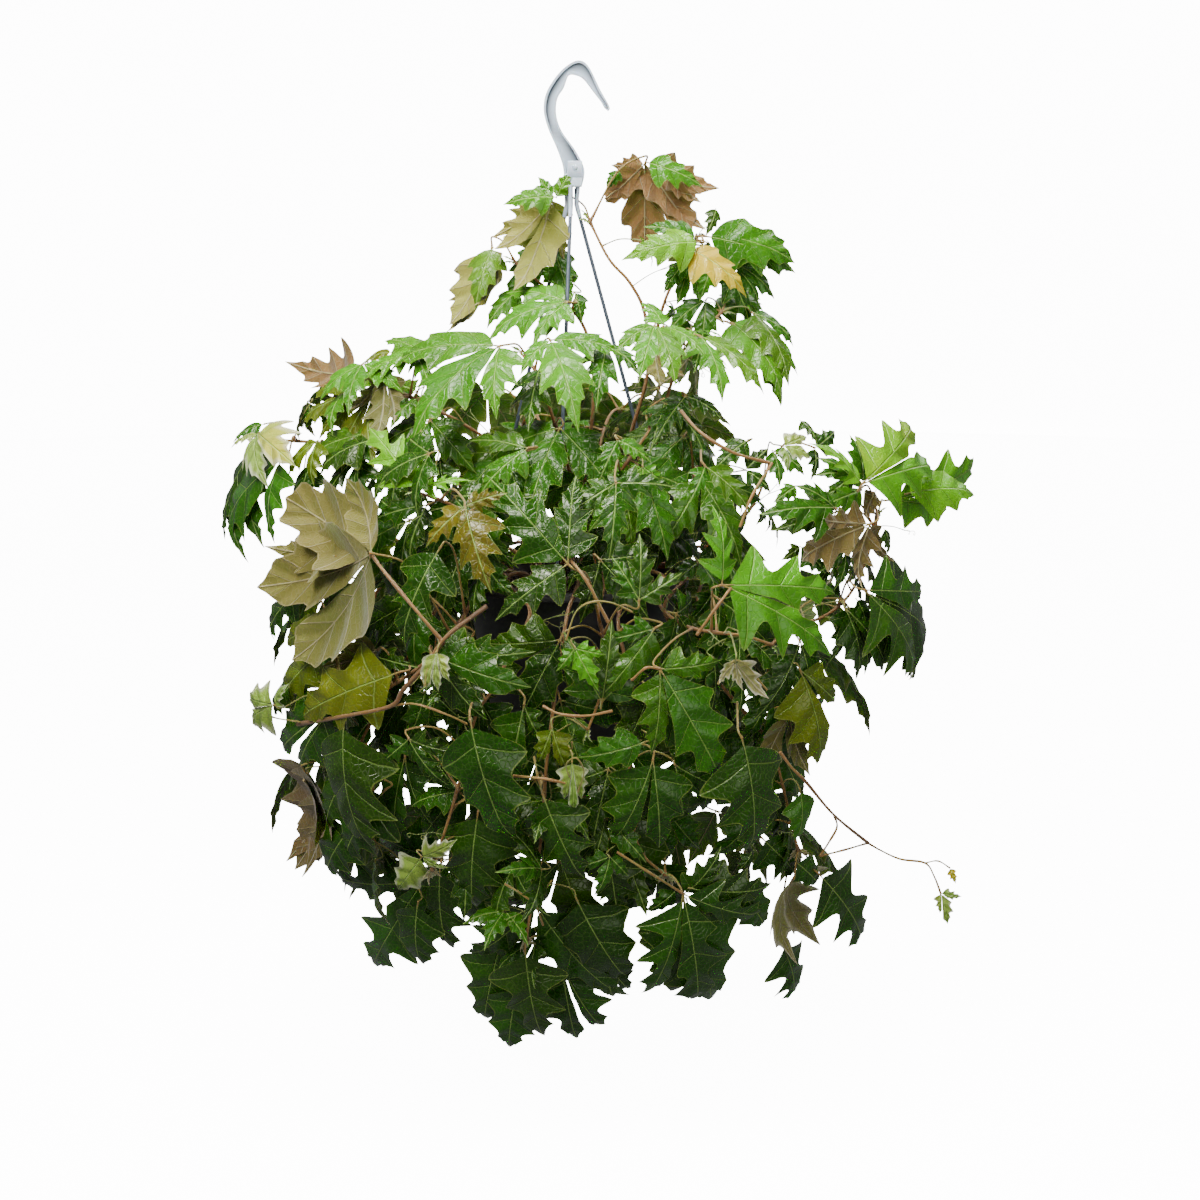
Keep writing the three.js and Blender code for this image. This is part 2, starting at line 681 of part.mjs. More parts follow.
    inner: [
      [600, 560, 50, 650, 620],
      [560, 640, 50, 520, 720],
      [610, 650, 60, 640, 740],
    ],
  },
  {
    name: 'shoot_front_low', root: [-6, 58], over: 3,
    stem: [[568, 612, -150], [560, 660, -168], [553, 710, -175], [546, 770, -175], [542, 830, -165],
      [534, 890, -145], [526, 940, -130]],
    leaves: [
      [543, 795, 0, 1, [586, 884, 0]],
      [536, 905, 20, 1, [465, 958, 0], [629, 1000, 0]],
      [500, 945, 30, 1, [484, 1024, 0]],
      [525, 950, 0, 1, [544, 1039, 0]],
      [517, 985, 20, 1, [509, 1049, 0]],
      [562, 965, 30, 1, [577, 1041, 0], [606, 1030, 0]],
    ],
    inner: [
      [560, 700, 50, 590, 790],
      [535, 780, 60, 492, 850],
      [560, 860, 50, 600, 940],
    ],
  },
  {
    name: 'shoot_front_right_low', root: [24, 62], over: 26,
    stem: [[618, 620, -150], [630, 680, -172], [632, 740, -178], [628, 800, -170], [640, 850, -155],
      [665, 875, -140]],
    leaves: [
      [653, 760, 15, 1, [612, 845, 0], [660, 850, 0]],
      [608, 850, 30, 1, [618, 917, 0]],
      [683, 894, 0, 1, [770, 914, 0], [697, 1010, 0], [644, 1000, 0]],
      [675, 765, 30, 1, [683, 818, 0], [728, 790, 0]],
    ],
    inner: [
      [650, 690, 50, 700, 760],
      [620, 800, 50, 650, 890],
      [660, 860, 60, 600, 920],
    ],
  },
  {
    name: 'shoot_right_low', root: [52, 58], over: 58,
    stem: [[664, 610, -110], [700, 660, -130], [738, 705, -130], [770, 745, -115], [785, 795, -100],
      [798, 850, -85]],
    leaves: [
      [742, 738, 0, 1, [750, 858, 0]],
      [790, 715, 40, -1, [760, 790, 0], [808, 774, 0]],
      [762, 838, 40, 1, [798, 876, 0]],
      [792, 880, 20, -1, [788, 958, 0], [812, 940, 0]],
      [782, 945, 30, 1, [788, 1001, 0]],
      [818, 873, 10, 1, [861, 948, 0]],
    ],
    inner: [
      [760, 720, 60, 800, 800],
      [770, 790, 60, 710, 860],
    ],
  },
  {
    name: 'shoot_right_middle', root: [40, 70], over: 42,
    stem: [[660, 605, -130], [684, 625, -155], [712, 632, -165], [745, 636, -160], [772, 645, -150]],
    leaves: [
      [722, 585, 0, 1, [716, 503, 0], [836, 656, 0], [843, 592, 20]],
      [660, 669, 0, 1, [652, 756, 0], [724, 784, 0], [724, 660, 0]],
      [800, 640, 40, 1, [756, 720, 0], [810, 720, 0]],
      [845, 605, 40, 1, [858, 655, 0]],
    ],
    inner: [
      [720, 600, 60, 780, 660],
      [700, 640, 70, 740, 730],
    ],
  },
  {
    name: 'shoot_right_far', root: [70, 66], over: 76,
    stem: [[700, 606, -75], [755, 618, -90], [808, 622, -90], [845, 600, -75], [866, 560, -60],
      [878, 515, -50]],
    leaves: [
      [862, 484, 0, 1, [814, 440, 0], [914, 419, 0], [938, 465, 0]],
      [892, 500, 20, 1, [981, 458, 0], [952, 503, 0]],
      [835, 508, 20, 1, [761, 513, 0], [796, 484, 0]],
      [870, 524, 10, -1, [820, 520, 0], [796, 562, 0], [858, 588, 0]],
      [864, 590, 0, 1, [925, 592, 0], [914, 681, 0]],
    ],
  },
  {
    name: 'shoot_right_upper', root: [75, 44],
    stem: [[640, 520, -40], [672, 485, -60], [705, 490, -70], [735, 520, -70], [756, 500, -60],
      [770, 462, -45]],
    leaves: [
      [815, 448, 50, 1, [812, 480, 0], [836, 430, 0]],
      [686, 396, 40, 1, [655, 440, 0], [724, 420, 0]],
      [705, 466, 20, 1, [690, 502, 0], [752, 512, 0]],
    ],
    inner: [
      [700, 480, 60, 742, 566],
      [684, 436, 84, 634, 496],
    ],
  },
  {
    name: 'shoot_middle_right', root: [20, 50],
    stem: [[600, 525, -80], [606, 500, -110], [618, 476, -130], [632, 455, -130], [650, 430, -110]],
    leaves: [
      [616, 483, 0, 1, [566, 516, 0], [610, 557, 0], [675, 486, 0]],
      [665, 402, 60, 1, [705, 450, 0], [650, 452, 0]],
      [618, 440, 40, 1, [600, 478, 0], [652, 462, 0]],
    ],
    inner: [
      [640, 470, 60, 668, 560],
      [585, 480, 90, 560, 560],
    ],
  },
];

// The far side: shoots fan out over the back of the rim. A course is [radius, height] in mm after the rim,
// or after the soil for a rising shoot.
const COURSES = {
  long: { root: 66, over: true, course: [[156, -442], [192, -476], [206, -548], [200, -634], [184, -716]] },
  rising: { root: 30, over: false, course: [[56, -400], [82, -348], [116, -312], [158, -306], [190, -336]] },
  short: { root: 50, over: true, course: [[150, -430], [196, -440], [226, -486], [236, -548]] },
};
const BACK_ROWS = [[126, 'long'], [139, 'short'], [152, 'long'], [166, 'rising'], [180, 'long'],
  [194, 'rising'], [208, 'long'], [223, 'short'], [240, 'long']];
const CROWN_WIDER = 1.12;

function acrossCrown(bearing, radius, z) {
  const spot = onBearing(bearing, radius, z);
  return new THREE.Vector3(CROWN_WIDER * spot.x, spot.y / CROWN_WIDER, spot.z);
}

const BACK_SHOOTS = BACK_ROWS.map(([bearing, kind], i) => {
  const { root, over, course } = COURSES[kind];
  return {
    name: `shoot_back_${i + 1}`,
    root: [bearing, root],
    over: over ? bearing : undefined,
    bearing,
    course: course.map(([radius, z]) => acrossCrown(bearing, radius, z)),
  };
});

// Where the leaves of a back shoot go, from its stem: outwards, to alternate sides, and down.
const BACK_STALK = { out: 24, side: 34, up: 18 };
const BACK_BLADE = { out: 42, side: 40, down: 74 };

function backLeafAt(shoot, spot, side, shift) {
  const out = onBearing(shoot.bearing, 1, 0);
  const sideways = onBearing(shoot.bearing + 90, side, 0);
  const foot = spot.clone()
    .addScaledVector(out, BACK_STALK.out - shift)
    .addScaledVector(sideways, BACK_STALK.side)
    .addScaledVector(UP, BACK_STALK.up);
  const tip = foot.clone()
    .addScaledVector(out, BACK_BLADE.out)
    .addScaledVector(sideways, BACK_BLADE.side)
    .addScaledVector(UP, -BACK_BLADE.down);
  const facing = out.clone().addScaledVector(UP, 0.8).normalize();
  const tips = wholeTips(foot, tip, facing);
  return { foot, tips, normal: leafNormal(foot, tips, facing), edges: PLAIN };
}

// ---------------------------------------------------------------- growing the shoots clear

const STEPS_A_POINT = 1.5;
const STEP_BACK = 7;
const MOST_STEPS = 24;
const CLEAR = 0.3;
const FINEST = 0.05;

const placed = [];

function place(solid, shoot) {
  placed.push({ solid, shoot, box: solid.boundingBox() });
}

function boxesMeet(a, b) {
  return [0, 1, 2].every((k) => a.min[k] - CLEAR < b.max[k] && b.min[k] - CLEAR < a.max[k]);
}

// The first piece that a solid touches, leaving out those of its own shoot if it has one.
function touched(solid, ownShoot) {
  const box = solid.boundingBox();
  return placed.find((other) => (ownShoot === null || other.shoot !== ownShoot)
    && boxesMeet(box, other.box)
    && solid.minGap(other.solid, 2 * CLEAR) < CLEAR);
}

function isClear(solid, ownShoot) {
  return touched(solid, ownShoot) === undefined;
}

function nearestOn(points, target) {
  let best = null;
  const line = new THREE.Line3();
  const spot = new THREE.Vector3();
  for (let i = 3; i < points.length; i += 1) {
    line.set(points[i - 1], points[i]);
    line.closestPointToPoint(target, true, spot);
    const distance = spot.distanceTo(target);
    if (best === null || distance < best.distance) best = { distance, spot: spot.clone() };
  }
  return best.spot;
}

// A stem from its hole in the soil, over the rim if it goes there, and on through its stations.
function stemOf(shoot, shift) {
  const points = [FIT - HOLE_DEPTH, -HOLE_DEPTH / 2, SOIL_CROWN, SOIL_CROWN + 10]
    .map((rise) => onBearing(...shoot.root, SOIL_TOP + rise));
  if (shoot.over !== undefined) {
    points.push(onBearing(shoot.over, RIM_RADIUS - 14, RIM_TOP + 15));
    points.push(onBearing(shoot.over, RIM_RADIUS + 16, RIM_TOP + 12));
  }
  for (const [across, down, depth] of shoot.stem ?? []) points.push(station(across, down, depth + shift));
  for (const spot of shoot.course ?? []) points.push(spot.clone().setZ(spot.z + shift));
  const curve = new THREE.CatmullRomCurve3(points, false, 'catmullrom', 0.5);
  const steps = Math.round(STEPS_A_POINT * points.length);
  return { curve, steps, spine: curve.getSpacedPoints(steps) };
}

// The shifts to try, in turn: none, one step back, one forward, two back and so on.
function shiftOf(k) {
  return STEP_BACK * (k % 2 === 1 ? (k + 1) / 2 : -k / 2);
}

function growStem(shoot) {
  for (let k = 0; k <= MOST_STEPS; k += 1) {
    const stem = stemOf(shoot, shiftOf(k));
    const solid = swept(stem.curve, STEM_RADIUS, 3, stem.steps);
    if (isClear(solid, shoot.name)) {
      place(solid, shoot.name);
      return { ...stem, solid };
    }
  }
  const stem = stemOf(shoot, 0);
  const obstacle = touched(swept(stem.curve, STEM_RADIUS, 3, stem.steps), shoot.name);
  throw new Error(`${shoot.name}: its stem touches ${obstacle.shoot}`);
}

function leafAt(row, shift) {
  const [footX, footY, behind, face, ...tipStations] = row;
  const back = behind + shift;
  const foot = station(footX, footY, crownFront(footX, footY) + back);
  const tips = tipStations.map(([x, y, further]) => station(x, y, crownFront(x, y) + back + further));
  const normal = leafNormal(foot, tips, crownNormal(footX, footY).multiplyScalar(face));
  return { foot, tips, normal, edges: CUT };
}

function innerLeafAt([footX, footY, behind, tipX, tipY], shift) {
  const back = behind + shift;
  const foot = station(footX, footY, crownFront(footX, footY) + back);
  const tip = station(tipX, tipY, crownFront(tipX, tipY) + back);
  const facing = crownNormal(footX, footY);
  const tips = wholeTips(foot, tip, facing);
  return { foot, tips, normal: leafNormal(foot, tips, facing), edges: PLAIN };
}

// A leaf goes where its blade is clear of everything and its stalk of its own blade and of other shoots.
function growLeaf(leafFor, shoot, spine) {
  for (let k = 0; k <= MOST_STEPS; k += 1) {
    const leaf = leafFor(shiftOf(k));
    const blade = leafSolid(leaf, []);
    if (isClear(blade, null)) {
      const start = nearestOn(spine, leaf.foot);
      for (const bow of BOWS) {
        const rings = stalkRings(start, leaf, bow);
        const stalk = stalkSolid(rings);
        if (isClear(stalk, shoot) && stalk.minGap(blade, 2 * CLEAR) >= CLEAR) {
          return { whole: leafSolid(leaf, rings), blade, stalk };
        }
      }
    }
  }
  return null;
}

// ---------------------------------------------------------------- assembly

const plant = new THREE.Group();
plant.name = 'grape_ivy_in_hanging_pot';

function addMesh(name, solid, finish) {
  const mesh = new THREE.Mesh(geometryOf(solid), finish);
  mesh.name = name;
  plant.add(mesh);
}

const anthracite = material('#2f3035', 0.6);
const peat = material('#3a2a1d', 0.95);
const paleBlueGrey = material('#b3c0cc', 0.45);
const slate = material('#4c545e', 0.5);
const leafGreen = material('#2d5a27', 0.4);

const pot = makePot();
const hook = makeHook();
addMesh('pot', pot, anthracite);
addMesh('hanger_hook', hook, paleBlueGrey);
place(pot, 'pot');
place(hook, 'hook');
for (const [side, bearing] of Object.entries(STRAND_BEARINGS)) {
  const strand = makeStrand(bearing);
  addMesh(`hanger_strand_${side}`, strand, slate);
  place(strand, 'strand');
}

const ALL_SHOOTS = [...SHOOTS, ...BACK_SHOOTS];
const soil = makeSoil(ALL_SHOOTS.map((shoot) => onBearing(...shoot.root, 0)));
addMesh('soil', soil, peat);
place(soil, 'soil');

const stems = ALL_SHOOTS.map(growStem);
const parts = stems.map((stem) => [stem.solid]);

// Every leaf of the front goes in first, then the inner leaves and those of the back, which give way.
function growLeaves(leafMakersOf) {
  ALL_SHOOTS.forEach((shoot, i) => {
    leafMakersOf(shoot).forEach((leafFor, number) => {
      const leaf = growLeaf(leafFor, shoot.name, stems[i].spine);
      if (leaf === null) throw new Error(`${shoot.name}: no clear place for its leaf ${number + 1}`);
      place(leaf.blade, shoot.name);
      place(leaf.stalk, shoot.name);
      parts[i].push(leaf.whole);
    });
  });
}

growLeaves((shoot) => (shoot.leaves ?? []).map((row) => (shift) => leafAt(row, shift)));
growLeaves((shoot) => (shoot.inner ?? []).map((row) => (shift) => innerLeafAt(row, shift)));
growLeaves((shoot) => (shoot.course ?? []).slice(1).map((spot, k) => {
  return (shift) => backLeafAt(shoot, spot, k % 2 === 0 ? 1 : -1, shift);
}));
ALL_SHOOTS.forEach((shoot, i) => addMesh(shoot.name, union(parts[i]).simplify(FINEST), leafGreen));

export default plant;
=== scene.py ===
"""A grape ivy in its plastic hanging pot: hook, strands, pot, soil and the leafy shoots."""
import math
import bmesh
import bpy
import numpy as np
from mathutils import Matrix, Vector
from mathutils.kdtree import KDTree


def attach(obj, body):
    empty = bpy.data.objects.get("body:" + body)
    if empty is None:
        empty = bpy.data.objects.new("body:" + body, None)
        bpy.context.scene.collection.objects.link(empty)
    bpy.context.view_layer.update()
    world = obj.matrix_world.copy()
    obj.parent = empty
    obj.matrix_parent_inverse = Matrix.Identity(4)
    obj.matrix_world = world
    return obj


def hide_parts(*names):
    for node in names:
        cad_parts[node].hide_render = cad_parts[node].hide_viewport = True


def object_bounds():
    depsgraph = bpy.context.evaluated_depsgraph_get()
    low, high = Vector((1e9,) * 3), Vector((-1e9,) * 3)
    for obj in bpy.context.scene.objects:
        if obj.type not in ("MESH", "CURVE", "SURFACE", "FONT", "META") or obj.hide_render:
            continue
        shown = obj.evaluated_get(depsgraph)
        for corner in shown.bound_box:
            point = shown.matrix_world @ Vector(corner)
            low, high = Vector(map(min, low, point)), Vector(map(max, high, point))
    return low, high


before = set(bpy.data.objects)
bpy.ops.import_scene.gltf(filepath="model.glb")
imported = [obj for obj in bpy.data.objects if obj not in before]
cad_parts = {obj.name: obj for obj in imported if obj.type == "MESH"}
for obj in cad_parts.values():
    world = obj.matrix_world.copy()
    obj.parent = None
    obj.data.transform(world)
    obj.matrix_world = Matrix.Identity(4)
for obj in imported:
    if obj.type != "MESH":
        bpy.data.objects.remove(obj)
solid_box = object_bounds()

# ------------------------------------------------------------------ hook
# One pale blue-grey moulding: a bar with a channel in both faces, bent to a hook over its seat and
# widened at the bottom into the block that grips the three strands.

# The bar's half thickness, its ribs' width in metres, and the web's thickness as a share of the bar's.
HOOK_HALF_THICK, HOOK_RIB, HOOK_WEB = 0.0035, 0.0022, 0.34
# Both edges of the bar in millimetres, from the block up over the seat to the tip: outer x, z, inner x, z.
HOOK_EDGES = [(-6, -96, 9, -96), (-6.5, -86, 11.3, -86), (-8, -76, 10.5, -78), (-13, -62, 3.6, -64.5),
    (-20.5, -45, -8.6, -47.5), (-24, -30, -13.2, -33), (-22, -16, -12, -20), (-14.5, -3, -6.5, -11),
    (-5, 7, -2.2, -0.6), (6, 12.4, 4.6, -0.6), (15, 7.5, 10.8, -4), (25, -12, 19.5, -15),
    (33.3, -27, 25.8, -23), (32.2, -31, 28.6, -28)]
# Height, left and right edge and half depth of the grip that the strands hang from.
GRIP_ROWS = [(-96, -7.4, 8.4, 3.8), (-95, -7.9, 8.9, 4.6), (-91, -7.6, 9.6, 4.6), (-86.5, -6.7, 10.8, 3.9),
    (-84, -6.5, 11.2, 3.5)]
# Middle of the raised plate, with its corners, and of the boss on it, with its steps of radius and depth.
PLATE_X, PLATE_Z, PLATE = 3.2, -80.5, [(-7.2, -7.2), (6.9, -7.2), (6.3, 7.2), (-6.3, 7.2)]
BOSS_Z, BOSS_STEPS, BOSS_SIDES = -79, [(2.3, 4.4), (2.2, 5.0), (1.6, 5.3), (0.5, 5.4)], 20
# Height at which the painted shade in the channel starts to change sides, and over how much it does, in metres.
CHANNEL_SHADE_TURN, CHANNEL_SHADE_FADE = -0.040, 0.02


def smooth_rows(rows, steps):
    """Rows of numbers with more rows between them, on smooth curves through them all."""
    rows = np.array(rows, float)
    ends = np.vstack([2 * rows[0] - rows[1], rows, 2 * rows[-1] - rows[-2]])
    t = np.arange(len(rows) * steps - steps + 1) / steps
    i = np.minimum(t.astype(int), len(rows) - 2)
    w = (t - i)[:, None]
    a, b, c, d = ends[i], ends[i + 1], ends[i + 2], ends[i + 3]
    return b + 0.5 * w * (c - a + w * (2 * a - 5 * b + 4 * c - d + w * (3 * b - a - 3 * c + d)))


def linked(name, data):
    """A new object in the scene."""
    made = bpy.data.objects.new(name, data)
    bpy.context.scene.collection.objects.link(made)
    return made


def mesh_piece(name, points, faces, finishes):
    """A smooth object from its points and faces, with its materials."""
    mesh = bpy.data.meshes.new(name)
    mesh.from_pydata([tuple(p) for p in points], [], [tuple(f) for f in faces])
    for finish in finishes:
        mesh.materials.append(finish)
    mesh.shade_smooth()
    return linked(name, mesh)


def outward(piece):
    """Faces that all point out of a closed piece."""
    shell = bmesh.new()
    shell.from_mesh(piece.data)
    bmesh.ops.recalc_face_normals(shell, faces=shell.faces)
    shell.to_mesh(piece.data)
    shell.free()
    return piece


def ringed(name, points, size, finish):
    """A body over rings of so many points laid one after the other, with closed ends."""
    count = len(points) // size
    faces = [(i * size + j, i * size + (j + 1) % size, (i + 1) * size + (j + 1) % size, (i + 1) * size + j)
        for i in range(count - 1) for j in range(size)]
    ends = [tuple(reversed(range(size))), tuple(range((count - 1) * size, count * size))]
    return outward(mesh_piece(name, points, faces + ends, [finish]))


def plain_mesh(piece):
    """The mesh of a piece with its modifiers worked in."""
    bpy.context.view_layer.update()
    return bpy.data.meshes.new_from_object(piece.evaluated_get(bpy.context.evaluated_depsgraph_get()))


def settle(piece):
    """Turns a piece's modifiers into its mesh."""
    made = plain_mesh(piece)
    piece.modifiers.clear()
    piece.data = made


def joined(name, pieces):
    """Several pieces made into one object."""
    with bpy.context.temp_override(active_object=pieces[0], selected_editable_objects=pieces):
        bpy.ops.object.join()
    pieces[0].name = name
    return pieces[0]


def eased(piece, width, segments=2):
    """Rounds the sharp edges of a moulding."""
    ease = piece.modifiers.new("eased edges", "BEVEL")
    ease.width, ease.segments, ease.harden_normals = width, segments, True
    ease.limit_method, ease.angle_limit = "ANGLE", math.radians(30)
    settle(piece)


def new_group(name, takes, gives, kind="ShaderNodeTree"):
    """An empty node group with named sockets, and its two ends."""
    group = bpy.data.node_groups.new(name, kind)
    for label, what, *value in takes:
        socket = group.interface.new_socket(label, in_out="INPUT", socket_type="NodeSocket" + what)
        if value:
            socket.default_value = value[0]
    for label, what in gives:
        group.interface.new_socket(label, in_out="OUTPUT", socket_type="NodeSocket" + what)
    return group, group.nodes.new("NodeGroupInput").outputs, group.nodes.new("NodeGroupOutput").inputs


def feed(inputs, values):
    """Feeds the inputs of a node, each with another's output or with a value."""
    for key, value in values.items():
        if isinstance(value, bpy.types.NodeSocket):
            value.id_data.links.new(value, inputs[key])
        else:
            inputs[key].default_value = value


def node(tree, kind, takes={}, **settings):
    """The outputs of a new node with its settings and inputs; a kind without more words is a shader node."""
    made = tree.nodes.new(kind if "Node" in kind else "ShaderNode" + kind)
    for key, value in settings.items():
        setattr(made, key, value)
    feed(made.inputs, takes)
    return made.outputs


def sums(operation, first, second=0.0, third=0.0, **settings):
    """One sum of a maths node."""
    return node(first.id_data, "Math", {0: first, 1: second, 2: third}, operation=operation, **settings)[0]


def ranged(value, low, high, first=0.0, last=1.0, way="LINEAR"):
    """A value taken from one range to another."""
    return node(value.id_data, "MapRange", {"Value": value, "From Min": low, "From Max": high, "To Min": first,
        "To Max": last}, interpolation_type=way)[0]


def place_in(tree):
    """The place on a piece."""
    found = tree.nodes.get("Texture Coordinate")
    return found.outputs["Object"] if found else node(tree, "TexCoord")["Object"]


def clouds(tree, scale, detail=2.0, **more):
    """A noise through a piece, so fine and with so much detail."""
    return node(tree, "TexNoise", {"Vector": place_in(tree), "Scale": scale, "Detail": detail, **more})[0]


def relief(height, strength, depth):
    """Bumps of a height."""
    return node(height.id_data, "Bump", {"Height": height, "Strength": strength, "Distance": depth})[0]


def linear(code):
    """A hex colour as Blender's linear numbers."""
    parts = [int(code[i:i + 2], 16) / 255 for i in (1, 3, 5)]
    return (*(p / 12.92 if p <= 0.04045 else ((p + 0.055) / 1.055) ** 2.4 for p in parts), 1)


def blend(share, first, second, kind="MIX"):
    """Two colours mixed by a share; a hex colour may stand for either."""
    first, second = (linear(c) if isinstance(c, str) else c for c in (first, second))
    return node(share.id_data, "Mix", {0: share, 6: first, 7: second}, data_type="RGBA", blend_type=kind)[2]


def ramp(value, stops):
    """A colour ramp over a value, with stops of position and hex colour."""
    colour = node(value.id_data, "ValToRGB", {0: value})[0]
    band = colour.node.color_ramp.elements
    while len(band) < len(stops):
        band.new(0.5)
    for element, (position, code) in zip(band, stops):
        element.position = position
        element.color = linear(code)
    return colour


def new_finish(name):
    """A new material, its node tree and the inputs of its shader."""
    made = bpy.data.materials.new(name)
    made.use_nodes = True
    return made, made.node_tree, made.node_tree.nodes["Principled BSDF"].inputs


# Moulded plastic: a faint orange-peel skin, cloudy flow of the colour and a film of dust on top.
moulding, m_in, m_out = new_group("moulded plastic", [("Colour", "Color"), ("Dust", "Float", 0.2),
    ("Gloss", "Float", 0.4)], [("Colour", "Color"), ("Roughness", "Float"), ("Height", "Float")])
flow, peel, smear = clouds(moulding, 60, 3), clouds(moulding, 1400), clouds(moulding, 22, 5, Distortion=1.2)
upward = node(moulding, "SeparateXYZ", {0: node(moulding, "NewGeometry")["Normal"]})[2]
dusty = sums("MULTIPLY", sums("MULTIPLY", smear, m_in["Dust"]), sums("MULTIPLY_ADD", upward, 0.5, 0.5))
feed(m_out, {"Colour": blend(dusty, blend(flow, m_in["Colour"], (0.5, 0.5, 0.5, 1), "SOFT_LIGHT"), "#a59a86"),
    "Roughness": sums("ADD", sums("MULTIPLY_ADD", smear, 0.25, m_in["Gloss"]), sums("MULTIPLY", dusty, 0.5)),
    "Height": sums("MULTIPLY_ADD", flow, 0.6, peel)})


def plastic(name, code, dust, gloss, subsurface=0.0):
    """A plastic in one colour through the moulded plastic group."""
    made, tree, body = new_finish(name)
    skin = node(tree, "Group", {"Colour": linear(code), "Dust": dust, "Gloss": gloss}, node_tree=moulding)
    feed(body, {"Base Color": skin["Colour"], "Roughness": skin["Roughness"],
        "Normal": relief(skin["Height"], 0.25, 0.0003), "Subsurface Weight": subsurface,
        "Subsurface Scale": 0.002})
    return made


pale_plastic = plastic("pale blue-grey plastic", "#dceaf7", 0.04, 0.2, subsurface=0.1)
# Painted shade darkens the channel along the foot of the outer rib above and of the inner rib below, where the
# rib shades the web.
h_tree = pale_plastic.node_tree
h_colour = h_tree.nodes["Principled BSDF"].inputs["Base Color"]
# The painted channel shade mixes the plastic's colour towards a dark blue-grey.
painted_channel_shade = sums("POWER", node(h_tree, "Attribute", attribute_name="channel")["Fac"], 1.8)
h_tree.links.new(blend(painted_channel_shade, h_colour.links[0].from_socket, "#1d2732"), h_colour)

bar_rows = smooth_rows(HOOK_EDGES, 5) / 1000
half_section = [(0, 1), (HOOK_RIB, 1), (HOOK_RIB, HOOK_WEB), (-HOOK_RIB, HOOK_WEB), (-HOOK_RIB, 1), (1, 1)]
section = [(across, -side) for across, side in half_section] + half_section[::-1]
bar_points = []
for outer_x, outer_z, inner_x, inner_z in bar_rows:
    wide = math.hypot(inner_x - outer_x, inner_z - outer_z)
    for across, side in section:
        if across not in (0, 1):
            across = min(across / wide, 0.7) if across > 0 else max(1 + across / wide, 0.3)
        bar_points.append((outer_x + across * (inner_x - outer_x), side * HOOK_HALF_THICK,
            outer_z + across * (inner_z - outer_z)))
bar = ringed("hook_bar", bar_points, len(section), pale_plastic)
# Painted shade in the channel: strongest at the foot of one rib, weaker at the other, changing sides below the
# turn.
near_inner = np.clip((CHANNEL_SHADE_TURN - bar_rows[:, 1]) / CHANNEL_SHADE_FADE, 0, 1)
channel_shade = np.zeros((len(bar_rows), len(section)))
channel_shade[:, (2, 9)] = (1 - 0.8 * near_inner)[:, None]
channel_shade[:, (3, 8)] = (0.2 + 0.8 * near_inner)[:, None]
bar.data.attributes.new("channel", "FLOAT", "POINT").data.foreach_set("value", channel_shade.ravel())
eased(bar, 0.0005)

# The foot of the bar flares into the grip; a raised plate with a boss faces the front.
grip_points = [(x, y * deep, z) for z, left, right, deep in GRIP_ROWS for x, y in
    ((left, -1), (right, -1), (right, 1), (left, 1))]
grip = ringed("hook_grip", np.array(grip_points) / 1000, 4, pale_plastic)
eased(grip, 0.0009, 3)
plate_points = [(x * share + PLATE_X, y, PLATE_Z + z * share)
    for share, y in ((1, -3.2), (1, -4.1), (0.9, -4.5)) for x, z in PLATE]
plate = ringed("hook_plate", np.array(plate_points) / 1000, 4, pale_plastic)
eased(plate, 0.0004)
boss_points = [(PLATE_X + r * math.cos(k * math.pi / 10), -y, BOSS_Z + r * math.sin(k * math.pi / 10))
    for r, y in BOSS_STEPS for k in range(BOSS_SIDES)]
boss = ringed("hook_boss", np.array(boss_points) / 1000, BOSS_SIDES, pale_plastic)

# ------------------------------------------------------------------ strands
# Three slim slate-grey bars of tough plastic, from the block through the pot's rim, each held under it
# by a T-shaped clip.

STRAND_RADIUS = 0.00165
STRAND_BEARINGS = {"left": -127, "front": -7, "right": 114}
# Radius from the middle and height of the strand's line, in millimetres.
STRAND_LINE = [(4.6, -97), (4.6, -111), (100, -433), (100, -446)]
# Half length and half width of a clip, and its heights with how far it is drawn in at each.
CLIP_LONG, CLIP_WIDE = 0.004, 0.0018
CLIP_ROWS = [(-0.44635, 0.8), (-0.4453, 1), (-0.4430, 1), (-0.44235, 0.9)]
# The pale sleeve at the top of each strand: radius from the middle, height and thickness.
COLLAR = [(0.0060, -0.0940, 0.0022), (0.0058, -0.0985, 0.0021), (0.0050, -0.1050, 0.0021),
    (0.0048, -0.111, 0.0021), (0.0064, -0.117, 0.0020), (0.0079, -0.122, 0.0018)]
slate_plastic = plastic("slate-grey plastic", "#56616d", 0.1, 0.22)


def on_bearing(bearing, radius, z):
    """A point on a bearing from the front, turning to the right, as part of a round plan."""
    angle = math.radians(bearing)
    return np.array([radius * math.sin(angle), -radius * math.cos(angle), z])


# A tube of any thickness along any line, used for the strands, the stems and the tendrils.
tube, t_in, t_out = new_group("tube along a line", [("Line", "Geometry"), ("Sides", "Int", 8),
    ("Bend", "Float", 0.0), ("Finish", "Material")], [("Tube", "Geometry")], "GeometryNodeTree")
rounded = node(tube, "GeometryNodeFilletCurve", {"Curve": t_in["Line"], "Count": 5, "Radius": t_in["Bend"],
    "Limit Radius": True}, mode="POLY")
ring = node(tube, "GeometryNodeCurvePrimitiveCircle", {"Resolution": t_in["Sides"], "Radius": 1.0})
thick = node(tube, "GeometryNodeInputRadius")
noted = node(tube, "GeometryNodeStoreNamedAttribute", {"Geometry": rounded[0], "Name": "thick",
    "Value": thick[0]}, data_type="FLOAT", domain="POINT")
swept = node(tube, "GeometryNodeCurveToMesh", {"Curve": noted[0], "Profile Curve": ring[0], "Scale": thick[0],
    "Fill Caps": True})
shaded = node(tube, "GeometryNodeSetShadeSmooth", {"Geometry": swept[0]})
whole = node(tube, "GeometryNodeRealizeInstances", {"Geometry": shaded[0]})
feed(t_out, {0: node(tube, "GeometryNodeSetMaterial", {"Geometry": whole[0], "Material": t_in["Finish"]})[0]})


